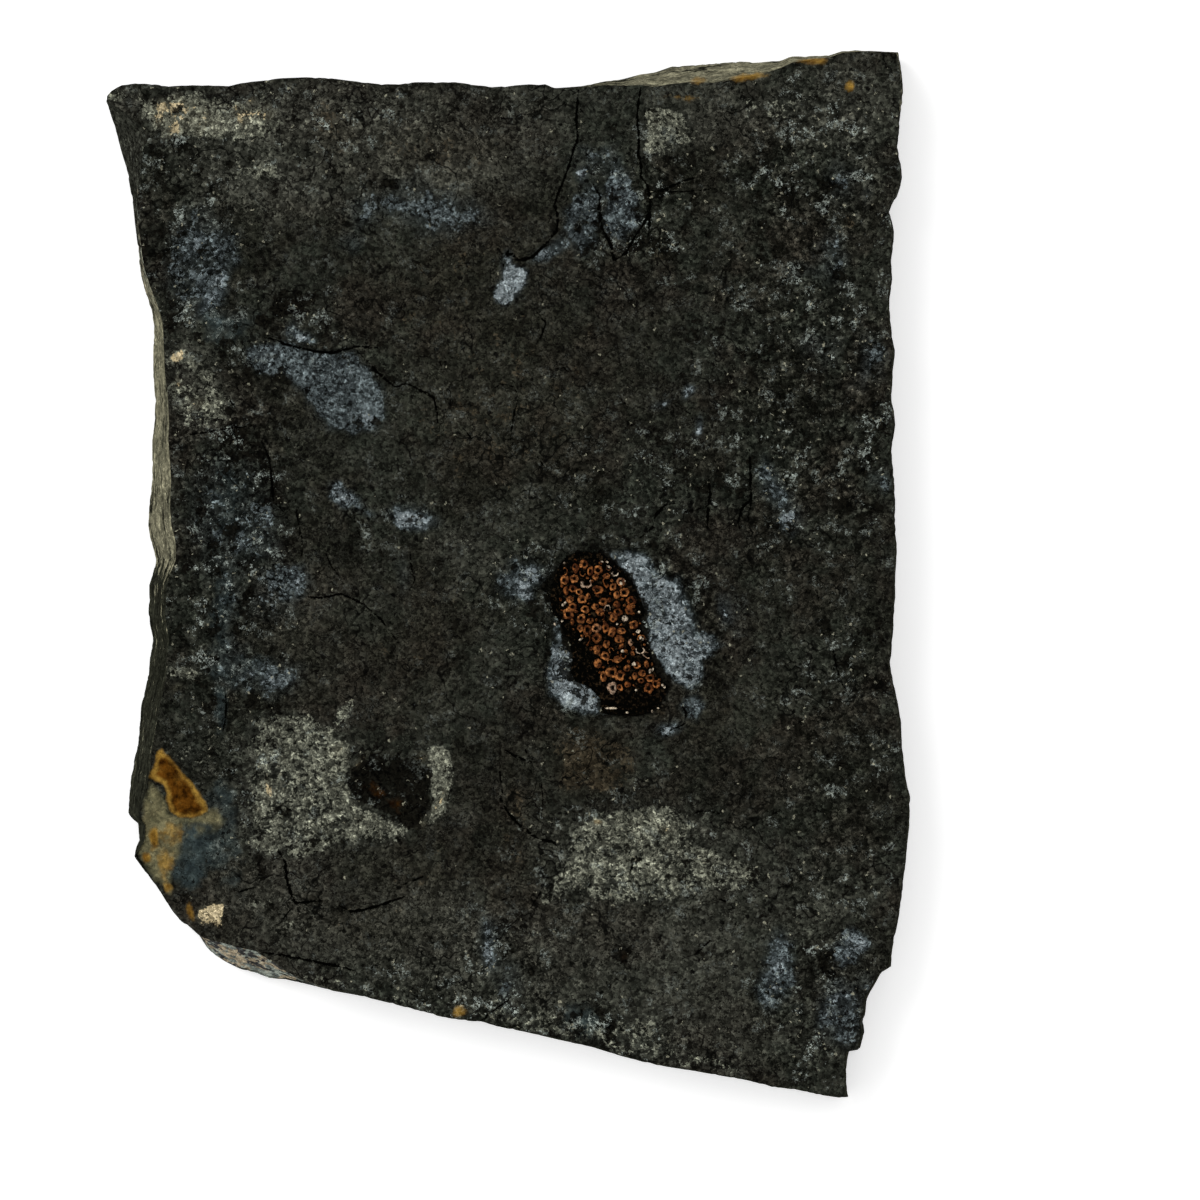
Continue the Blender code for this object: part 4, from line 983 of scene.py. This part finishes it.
hole = mix_colour(tree, grit_parts.outputs["Blue"], (2, 2, 2), (26, 25, 20))
sunk_mask = times(tree, stretch(tree, sunk, 0.375, 0.35), unstained)
colour = mix_colour(tree, times(tree, sunk_mask, 0.92), colour, hole)
# The dark zones are painted black: painted shade in the pits and notches, and the fossil bed's own black.
black = math_node(
    tree, 'ADD', dark_level, stretch(tree, clump_parts.outputs["Red"], 0.35, 0.65, -0.25, 0.25))
colour = mix_colour(tree, times(tree, stretch(tree, black, 0.72, 0.86), 0.8), colour, hole)

# Pale flecks sit in clusters where the face is rough.
fleck_rate = times(tree, stretch(tree, clump_parts.outputs["Blue"], 0.57, 0.61),
                   stretch(tree, tints.outputs["Green"], 0.42, 0.54, 0.35, 1.0),
                   stretch(tree, rough, 0, 0.8, 0.15, 1.0), unstained)
flecks = times(tree, stretch(tree, sparks, 0.1, 0.24), fleck_rate)
fleck_tint = mix_colour(tree, grit_parts.outputs["Green"], (76, 84, 80), (196, 206, 196))
colour = mix_colour(tree, times(tree, flecks, 0.9), colour, fleck_tint)
glint_rate = math_node(tree, 'SUBTRACT', 0.998, times(tree, dark_or_rough, 0.012))
glints = times(tree, math_node(tree, 'LESS_THAN', grits.outputs["Distance"], 0.5),
               math_node(tree, 'GREATER_THAN', grit_parts.outputs["Green"], glint_rate))
colour = mix_colour(tree, times(tree, glints, 0.8), colour, (150, 148, 128))

# Hairline cracks and finer threads.
hairline = times(tree, stretch(tree, away_from_half(tree, tints.outputs["Blue"]), 0.009, 0.004),
                 stretch(tree, tints.outputs["Red"], 0.46, 0.54))
colour = mix_colour(tree, times(tree, hairline, 0.85), colour, (7, 7, 6))
threads = times(tree, stretch(tree, away_from_half(tree, clump_parts.outputs["Red"]), 0.016, 0.007),
                stretch(tree, tints.outputs["Green"], 0.53, 0.5), unstained)
colour = mix_colour(tree, times(tree, threads, 0.85), colour, (11, 11, 9))

# The sides: thin layers in stripes, pale where they are weathered, and grey rubble where the
# lower slope is broken small.
layers = add(tree, "ShaderNodeMapping", {"Vector": where, "Scale": (300, 300, 2300)})
stripes = noise_texture(tree, layers.outputs["Vector"], 1.0, 5, 0.75)
stripe_share = stretch(tree, stripes.outputs["Fac"], 0.34, 0.66)
dark_side = mix_colour(tree, stripe_share, (14, 15, 12), (52, 53, 43))
plain_side = mix_colour(tree, 1.0, (44, 45, 39), shade_colour.outputs["Color"], 'MULTIPLY')
dark_side = mix_colour(tree, attribute_value(tree, "striped"), plain_side, dark_side)
light_side = mix_colour(tree, stripe_share, (42, 44, 36), (142, 138, 114))
rubble = mix_colour(tree, facet_parts.outputs["Blue"], (76, 82, 80), (142, 148, 138))
rubble = mix_colour(
    tree, stretch(tree, clump_parts.outputs["Red"], 0.5, 0.54), rubble, (150, 138, 116))
rubble = mix_colour(
    tree, stretch(tree, clump_parts.outputs["Green"], 0.47, 0.44), rubble, (58, 58, 58))
light_side = mix_colour(tree, attribute_value(tree, "striped"), rubble, light_side)
side_mask = add(tree, "ShaderNodeGroup", {
    "Cover": attribute_value(tree, "pale_side"),
    "Grain": stretch(tree, stripes.outputs["Fac"], 0.35, 0.65)}, node_tree=stipple)
side_colour = mix_colour(tree, side_mask.outputs["Mask"], dark_side, light_side)
side_colour = mix_colour(tree, 0.6, side_colour, shade_colour.outputs["Color"], 'MULTIPLY')
colour = mix_colour(tree, attribute_value(tree, "side_share"), colour, side_colour)
colour = soak_zone("ochre", (106, 76, 28), (158, 124, 54))
colour = soak_zone("rust", (42, 22, 4), (100, 62, 16))
colour = mix_colour(tree, 0.5, colour, shade_colour.outputs["Color"], 'MULTIPLY')

# The open cracks, painted black inside as shade, with a ragged edge.
crack_edge = math_node(tree, 'ADD', attribute_value(tree, "crack_gap"),
                       stretch(tree, grain.outputs["Fac"], 0.3, 0.7, -1.3, 1.3))
colour = mix_colour(tree, stretch(tree, crack_edge, 0.4, -0.3), colour, (3, 3, 2))
tree.links.new(colour, shader.inputs["Base Color"])
shader.inputs["Roughness"].default_value = 0.95
shader.inputs["Specular IOR Level"].default_value = 0.0
add_bump(tree, shader, grain.outputs["Fac"], 0.9, 0.22 * MM)
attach(slab, "root")
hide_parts("shale_slab")

# The cluster's bed is a low black lump in the middle of the window. It fills the seat cut in
# the slab, so no gap shows between them.
window_floor = BEDDING - WINDOW_DEPTH
MASS_SHOULDER, MASS_CROWN = 0.2 * MM, 0.68 * MM
MASS_SLOPE = 3.2 * MM

# The outline's upper right, lower right and lower left corners part it into four sides.
corner_a, corner_b, corner_c = 2, 16, 18
mass_upper = Side(MASS_OUTLINE[:corner_a + 1], 0.0)
mass_right = Side(MASS_OUTLINE[corner_a:corner_b + 1][::-1], 0.0)
mass_lower = Side(MASS_OUTLINE[corner_b:corner_c + 1][::-1], 0.0)
mass_left = Side(MASS_OUTLINE[corner_c:] + MASS_OUTLINE[:1], 0.0)


def mass_heights(photo):
    """Height of the black lump's skin at places in the photograph."""
    inward = (-outline_distance(photo, MASS_OUTLINE) * pixel).clip(0, MASS_SLOPE)
    dome = np.sin(inward / MASS_SLOPE * math.pi / 2)
    lumps = roughness_at(photo, 22, 5.5) * 0.09 + roughness_at(photo, 6, 6.1) * 0.05
    return window_floor + MASS_SHOULDER + (MASS_CROWN - MASS_SHOULDER) * dome + lumps * MM


mass_mesh = bmesh.new()
bmesh.ops.create_grid(mass_mesh, x_segments=121, y_segments=201, size=1.0)
grid = np.array([vert.co for vert in mass_mesh.verts])
mass_places = fill_four_sides(
    (grid[:, 0] + 1) / 2, (grid[:, 1] + 1) / 2, mass_lower, mass_upper, mass_left, mass_right)
mass_grit = roughness_at(mass_places, 2.6, 7.7)
for vert, place, height, grit in zip(
        mass_mesh.verts, mass_places, mass_heights(mass_places), mass_grit):
    vert.co = spot(place, height + 0.04 * MM * grit)
rim_edges = [edge for edge in mass_mesh.edges if edge.is_boundary]
for drop in (0.15 * MM, 0.55 * MM):
    grown = bmesh.ops.extrude_edge_only(mass_mesh, edges=rim_edges)["geom"]
    rim_edges = [item for item in grown if isinstance(item, bmesh.types.BMEdge) and item.is_boundary]
    rim = [item for item in grown if isinstance(item, bmesh.types.BMVert)]
    for vert in rim:
        vert.co.z = window_floor + MASS_SHOULDER - 0.1 * MM - drop
bmesh.ops.holes_fill(mass_mesh, edges=rim_edges, sides=0)
bmesh.ops.recalc_face_normals(mass_mesh, faces=mass_mesh.faces)
mass = make_object(mass_mesh, "egg_bed")
mass.data.shade_smooth()

tree, shader, where = start_material(mass, "black egg bed")
crumbs = noise_texture(tree, where, 2600, 4, 0.7)
crumb_ramp = add(tree, "ShaderNodeValToRGB", {"Fac": crumbs.outputs["Fac"]})
ramp = crumb_ramp.color_ramp
ramp.elements[0].position, ramp.elements[0].color = 0.54, screen_colour(4, 4, 3)
ramp.elements[1].position, ramp.elements[1].color = 0.72, screen_colour(56, 44, 30)
tree.links.new(crumb_ramp.outputs["Color"], shader.inputs["Base Color"])
shader.inputs["Roughness"].default_value = 0.8
shader.inputs["Specular IOR Level"].default_value = 0.0
add_bump(tree, shader, crumbs.outputs["Fac"], 0.8, 0.1 * MM)
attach(mass, "root")
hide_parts("egg_cluster")

# The eggs are small brown shells grown together on the bed: broken cups with a hollow,
# whole eggs, and curled bits of shell. Each row is x, y, width, height and turn in the
# photograph, then how pale the shell is.
CUPS = (
    (584, 564.3, 8.4, 8.4, 0, 0.3), (564.6, 579.8, 8.6, 9.4, 0, 0.3), (574.2, 578.8, 8, 8, 0, 0.2),
    (590.3, 571.3, 6, 9.4, 10, 0.1), (598, 570, 8.8, 8.8, 0, 0.35), (573, 588.8, 7.6, 7, 0, 0.1),
    (579, 592, 6.6, 6, 40, 0.1), (582.3, 599.3, 8.4, 8.4, 0, 0.3), (598, 590, 10.6, 8.6, 0, 0.0),
    (613, 587.2, 6.8, 7.8, 20, 0.35), (620.8, 582, 8.8, 8.2, 20, 0.4), (624.3, 592.3, 8.8, 8.8, 0, 0.3),
    (603.3, 601.8, 9, 7.4, 0, 0.2), (568.3, 613.8, 9.8, 11, 0, 0.3), (585.3, 609.2, 7.8, 7.8, 0, 0.35),
    (581, 618.5, 8.2, 9.2, 30, 0.2), (596.3, 628, 8.8, 8.8, 0, 0.4), (596.6, 638.1, 9.2, 9.2, 0, 0.3),
    (587.6, 630.2, 8, 10.4, 15, 0.0), (618, 612, 8.2, 7.6, 0, 0.2), (633.3, 624.6, 8.6, 8.6, 45, 0.35),
    (605.1, 655.8, 8.4, 8.8, 0, 0.35), (611.5, 672.2, 11, 10.6, 30, 0.3), (619.7, 675.7, 9.4, 9.8, 0, 0.3),
    (603.3, 676.3, 6, 10, 0, 0.2), (619.7, 687.3, 6, 6, 0, 0.0), (612, 688, 8.8, 11.6, 0, 0.6),
    (649.8, 678.2, 8.6, 7.6, 0, 0.2), (640.7, 680.3, 6, 5, 0, 0.1), (648.8, 688, 8.8, 9.2, 0, 0.3),
    (655.8, 683.8, 8.2, 7.6, 30, 0.2), (637, 665.4, 7, 6.4, 0, 0.35), (630.8, 600.8, 8.6, 9.4, 0, 0.1),
    (605.7, 627.8, 7, 9.4, 0, 0.1), (572.4, 606.8, 8.8, 8.2, 0, 0.3),
)
DOMES = (
    (575.6, 568.3, 6.4, 9.4, 0, 0.3), (595.8, 577, 6, 6, 0, 0.0), (588.2, 596.3, 5, 6, 0, 0.1),
    (570, 599.6, 7.6, 7, 0, 0.2), (606.3, 576, 7, 5.4, 0, 0.1), (616.4, 595.2, 6.4, 7.6, 0, 0.1),
    (600.4, 612, 8.2, 7.2, 0, 0.3), (590, 620.8, 6.4, 6, 0, 0.1), (580.6, 628.4, 6, 7, 0, 0.0),
    (616.8, 604.5, 7, 6.4, 30, 0.1), (629.2, 609.8, 8.2, 9.8, 0, 0.3), (613.3, 617.3, 7.6, 9.4, 30, 0.2),
    (624.7, 618.7, 6.6, 5.6, 0, 0.9), (612, 632, 7.6, 10.4, 30, 0.3), (619, 639, 9.6, 7.8, 30, 0.2),
    (606.3, 644, 6.4, 8.2, 0, 0.2), (621, 646.3, 4, 6.4, 45, 0.1), (597, 649.7, 7, 9.4, 0, 0.3),
    (598, 663.4, 8.2, 8.8, 0, 0.2), (617.3, 659.3, 7.6, 7, 0, 0.1), (627.3, 668, 7, 5.8, 140, 0.2),
    (627.3, 684.4, 7, 5.6, 0, 0.1), (646.3, 664.2, 4.6, 7.6, 0, 0.35), (642, 673, 7, 7, 0, 0.2),
    (630.2, 642.4, 4, 6.4, 0, 0.5), (621.4, 630.8, 8, 6.6, 0, 0.0), (632.5, 653, 4, 5, 0, 0.0),
    (572.4, 622, 4.2, 6, 0, 0.0), (634.8, 675.7, 5, 7, 0, 0.0), (609.4, 599.8, 3.6, 4.8, 0, 0.2),
    (566.4, 590.5, 5, 9, 0, 0.1), (595.2, 606.3, 7, 5.8, 0, 0.1),
)
CURLS = (
    (565, 571.6, 7, 5, 100, 0.3), (582.6, 573.6, 6.4, 5, 225, 0.2), (586.4, 583, 10, 10.4, 200, 0.62),
    (606.3, 582.3, 10, 6.4, 270, 0.3), (602.2, 616.2, 8, 4.4, 90, 0.3), (587.6, 639.3, 8.8, 5, 90, 0.3),
    (607.4, 609, 7, 7.6, 20, 0.7), (615, 573.6, 5.6, 6, 225, 1.0), (608.6, 567.8, 5, 5, 225, 0.4),
    (611.3, 650.6, 5, 6, 0, 0.0), (623.2, 655.8, 6, 6, 225, 0.2), (639.5, 649.7, 8.6, 8, 200, 0.85),
    (646.7, 654.7, 5.6, 9.8, 300, 0.6), (641.3, 638.3, 7, 7, 20, 0.3), (610.3, 661.7, 6, 5, 0, 0.1),
)
# Egg profiles from the root up and over: distance from the middle as a share of the
# radius, height in millimetres, how much that row is a lit rim with painted light, and how
# much it is hollow with painted shade.
CUP_PROFILE = (
    (0.0, -0.30, 0, 0), (0.84, -0.28, 0, 0.3), (1.0, 0.0, 0.1, 0), (1.03, 0.13, 0.4, 0),
    (0.98, 0.23, 0.6, 0), (0.87, 0.29, 0.9, 0), (0.70, 0.32, 1, 0), (0.52, 0.28, 0.8, 0.1),
    (0.38, 0.16, 0.3, 0.5), (0.29, 0.0, 0, 1), (0.18, -0.08, 0, 1), (0.0, -0.08, 0, 1),
)
DOME_PROFILE = (
    (0.0, -0.30, 0, 0), (0.84, -0.28, 0, 0.3), (1.0, 0.0, 0.1, 0), (1.02, 0.10, 0.3, 0),
    (0.97, 0.19, 0.5, 0), (0.88, 0.26, 0.7, 0), (0.74, 0.31, 0.8, 0), (0.56, 0.34, 0.8, 0),
    (0.36, 0.35, 0.7, 0), (0.17, 0.35, 0.6, 0), (0.0, 0.35, 0.6, 0),
)
CURL_PROFILE = (
    (0.72, -0.30, 0, 0.4), (0.98, -0.28, 0, 0.3), (1.03, 0.10, 0.3, 0), (1.02, 0.26, 0.9, 0),
    (0.93, 0.33, 1, 0), (0.80, 0.32, 1, 0), (0.72, 0.22, 0.6, 0.2), (0.70, 0.0, 0, 0.8),
)
EGG_STEPS = 30
EGG_SWELL = 1.04
EGG_HEIGHT = 0.88 * MM
FULL_TURN = 2 * math.pi
CURL_SWEEP = math.radians(235)
egg_mesh = bmesh.new()
egg_pool = bpy.data.meshes.new("one_egg")
egg_chance = random.Random(11)


def draw_profile(egg, layers, profile, closed):
    """Draw a profile as a chain of edges standing on the x axis, in millimetres."""
    chain = [bmesh.ops.create_vert(egg, co=(0.0, 0.0, 0.0))["vert"][0]]
    edges = []
    for row in profile[1:]:
        grown = bmesh.ops.extrude_vert_indiv(egg, verts=[chain[-1]])
        chain += grown["verts"]
        edges += grown["edges"]
    for vert, (reach, rise, rim, hollow) in zip(chain, profile):
        vert.co = (reach, 0.0, rise)
        vert[layers["rim"]], vert[layers["hollow"]] = rim, hollow
    if closed:
        edges += bmesh.ops.contextual_create(egg, geom=[chain[0], chain[-1]])["edges"]
    return chain + edges


def grow_egg(row, profile, sweep=FULL_TURN, dented=False, swell=EGG_SWELL):
    """Turn one egg or curl from its profile, make it uneven and set it on the bed."""
    x, y, width, height, turn, pale = row
    whole = sweep == FULL_TURN
    egg = bmesh.new()
    layers = {name: egg.verts.layers.float.new(name) for name in ("rim", "hollow", "pale", "tone")}
    bmesh.ops.spin(
        egg, geom=draw_profile(egg, layers, profile, not whole), cent=(0, 0, 0), axis=(0, 0, 1),
        dvec=(0, 0, 0), angle=sweep, steps=EGG_STEPS, use_merge=whole)
    bmesh.ops.remove_doubles(egg, verts=egg.verts, dist=0.001)
    if not whole:
        ends = [edge for edge in egg.edges if edge.is_boundary]
        bmesh.ops.holes_fill(egg, edges=ends, sides=0)
    bmesh.ops.recalc_face_normals(egg, faces=egg.faces)
    seed = egg_chance.uniform(0, 60)
    tone = egg_chance.uniform(0, 1)
    lean_x, lean_y = egg_chance.uniform(-0.28, 0.28), egg_chance.uniform(-0.28, 0.28)
    hollow_size = egg_chance.uniform(0.75, 1.5)
    lit_from = Vector((1.0, 0.0)) @ Matrix.Rotation(egg_chance.uniform(0.6, 4.0), 2)
    dent_at = Vector((0.42, 0.0)) @ Matrix.Rotation(egg_chance.uniform(0, 6.28), 2)
    dent_reach = egg_chance.uniform(0.28, 0.5)
    for vert in egg.verts:
        around = Vector((vert.co.x, vert.co.y, 0.0))
        facing = around.normalized() if around.length > 1e-4 else around
        wobble = noise.noise(facing * 1.1 + Vector((seed, 0, 0))) * 0.26
        dent = noise.noise(vert.co * 2.6 + Vector((0, seed, 0))) * 0.2
        notch = noise.noise(facing * 1.7 + Vector((0, 0, seed)))
        chip = (0.1 * notch - 0.5 * max(0.0, notch - 0.22)) * vert[layers["rim"]]
        # The rim is painted light on the side toward this egg's own light direction, and painted shade on
        # the far side and at its notches.
        facing_light = 0.62 + 0.38 * Vector(facing[:2]).dot(lit_from) - 0.9 * max(0.0, notch - 0.15)
        vert[layers["rim"]] *= max(0.0, facing_light + 0.5 * dent)
        inner = vert[layers["hollow"]]
        # A dome's dent sinks and is painted near-black as shade.
        if dented and vert.co.z > 0.1:
            sink = max(0.0, 1 - (Vector(vert.co[:2]) - dent_at).length / dent_reach)
            vert.co.z -= 0.22 * sink
            vert[layers["hollow"]] = min(1.0, 2.2 * sink)
        grow = 1 + wobble + dent + (hollow_size - 1) * inner
        vert.co.x = vert.co.x * grow + lean_x * inner
        vert.co.y = vert.co.y * grow + lean_y * inner
        vert.co.z += chip + 0.25 * dent * (vert.co.z > 0)
        vert[layers["pale"]], vert[layers["tone"]] = pale, tone
    ground = mass_heights(np.array(((x, y),), float))[0]
    size = Matrix.Diagonal((swell * width * pixel / 2, swell * height * pixel / 2, EGG_HEIGHT, 1.0))
    turned = Matrix.Rotation(math.radians(-turn), 4, 'Z')
    egg.transform(Matrix.Translation(spot((x, y), ground)) @ turned @ size)
    egg.to_mesh(egg_pool)
    egg.free()
    egg_mesh.from_mesh(egg_pool)


for row in CUPS:
    grow_egg(row, CUP_PROFILE)
for row in DOMES:
    grow_egg(row, DOME_PROFILE, dented=True)
for row in CURLS:
    grow_egg(row, CURL_PROFILE, CURL_SWEEP)

# Small scraps of shell fill the spaces between the eggs, and a few white bits lie among
# them and on the black bed.
WHITE_BITS = (
    (602, 562, 3, 2, 0), (607, 562, 3, 2, 20), (609, 567, 5, 2.2, 30), (621, 583.5, 4, 3, 40),
    (624, 581.5, 3, 3, 0), (565, 603, 2.5, 4, 30), (563, 605, 2.5, 3, 0), (638, 631.5, 4.5, 3.5, 0),
    (640.5, 637.5, 2.6, 4, 20), (643, 639, 2.4, 2.6, 0), (622.5, 651, 3.4, 3, 0), (634, 664, 4, 4, 0),
    (650, 671, 2.6, 4.6, 10), (652.8, 669.5, 1.6, 4, 10), (662.5, 685, 2.6, 2.6, 0),
    (664.5, 687, 2.4, 2.6, 0), (611, 708, 12, 2.2, 0), (562, 621, 2.4, 2.4, 0), (555, 624, 2.4, 3, 0),
    (581, 639, 5, 1.8, -30), (627, 712.5, 2.6, 2, 0), (652, 711, 2, 3, 0), (658, 708, 2.2, 2, 0),
    (617, 624, 2, 2, 0), (639, 612, 2.4, 2.4, 0), (564.5, 563, 2, 2, 0), (636, 690, 2.4, 2, 0),
)
for x, y, width, height, turn in WHITE_BITS:
    grow_egg((x, y, width, height, turn, 1.0), DOME_PROFILE, swell=1.0)
EGG_FIELD = (
    (570, 560), (584, 558), (600, 562), (616, 576), (628, 586), (636, 604), (640, 622), (646, 640),
    (652, 660), (662, 684), (656, 692), (640, 688), (606, 692), (598, 676), (592, 652), (578, 634),
    (564, 620), (560, 600), (560, 576),
)
SCRAP_TRIES = 400
SCRAP_SPACING = 5.0
taken = [row[:2] for row in CUPS + DOMES + CURLS]
for attempt in range(SCRAP_TRIES):
    place = (egg_chance.uniform(556, 668), egg_chance.uniform(556, 694))
    nearest = min(math.dist(place, other) for other in taken)
    if nearest > SCRAP_SPACING and inside(np.array((place,)), EGG_FIELD)[0]:
        taken.append(place)
        size = egg_chance.uniform(2.4, 4.2)
        scrap = (*place, size, size * egg_chance.uniform(0.5, 1.0), egg_chance.uniform(0, 180), 0.0)
        grow_egg(scrap, DOME_PROFILE, dented=True)

bpy.data.meshes.remove(egg_pool)
eggs = make_object(egg_mesh, "eggs")
eggs.data.shade_smooth()

tree, shader, where = start_material(eggs, "brown egg shell")
blotch = noise_texture(tree, where, 3000, 3, 0.7)
# The shell is painted in light and shade: a lit colour on the rims, a shaded copy elsewhere and near-black
# in the hollows.
shaded_shell = mix_colour(tree, attribute_value(tree, "tone"), (34, 14, 6), (74, 38, 16))
lit = mix_colour(tree, attribute_value(tree, "tone"), (150, 88, 42), (208, 138, 78))
colour = mix_colour(tree, attribute_value(tree, "rim"), shaded_shell, lit)
paleness = stretch(tree, attribute_value(tree, "pale"), 0.35, 1.0)
colour = mix_colour(tree, paleness, colour, (222, 206, 180))
dirt = stretch(tree, blotch.outputs["Fac"], 0.44, 0.56, 0.85, 0.0)
colour = mix_colour(tree, dirt, colour, (46, 20, 9))
colour = mix_colour(tree, attribute_value(tree, "hollow"), colour, (8, 4, 3))
tree.links.new(colour, shader.inputs["Base Color"])
shader.inputs["Roughness"].default_value = 0.7
shader.inputs["Specular IOR Level"].default_value = 0.04
add_bump(tree, shader, blotch.outputs["Fac"], 0.5, 0.08 * MM)
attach(eggs, "root")
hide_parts("egg_cluster")

# The slab lies on a white sheet under soft light, a little stronger from the upper left.
# The camera looks straight down through a long lens.
LENS, SENSOR = 400.0, 36.0
FIELD = 1200 * pixel
scene = bpy.context.scene
aim = spot((600, 600), 6 * MM)

floor_mesh = bmesh.new()
bmesh.ops.create_grid(floor_mesh, x_segments=1, y_segments=1, size=2.0)
floor = make_object(floor_mesh, "white_sheet")
tree, shader, where = start_material(floor, "white sheet")
shader.inputs["Base Color"].default_value = (0.92, 0.92, 0.92, 1.0)
shader.inputs["Roughness"].default_value = 0.9
shader.inputs["Emission Color"].default_value = (1.0, 1.0, 1.0, 1.0)
shader.inputs["Emission Strength"].default_value = 0.42

camera_data = bpy.data.cameras.new("photo_camera")
camera_data.lens = LENS
camera_data.sensor_width = SENSOR
camera_data.clip_start = 0.01
camera_data.clip_end = 10.0
camera = bpy.data.objects.new("photo_camera", camera_data)
camera.location = aim + Vector((0, 0, FIELD * LENS / SENSOR))
scene.collection.objects.link(camera)
scene.camera = camera

lamp_data = bpy.data.lights.new("upper_left_lamp", 'SUN')
lamp_data.energy = 1.1
lamp_data.angle = math.radians(35)
lamp = bpy.data.objects.new("upper_left_lamp", lamp_data)
lamp.rotation_euler = Vector((0.75, -0.55, -1.0)).to_track_quat('-Z', 'Y').to_euler()
scene.collection.objects.link(lamp)

sky = bpy.data.worlds.new("soft_room")
sky.use_nodes = True
background = sky.node_tree.nodes["Background"]
background.inputs["Color"].default_value = (1.0, 1.0, 1.0, 1.0)
background.inputs["Strength"].default_value = 0.75
scene.world = sky
scene.view_settings.view_transform = 'Standard'
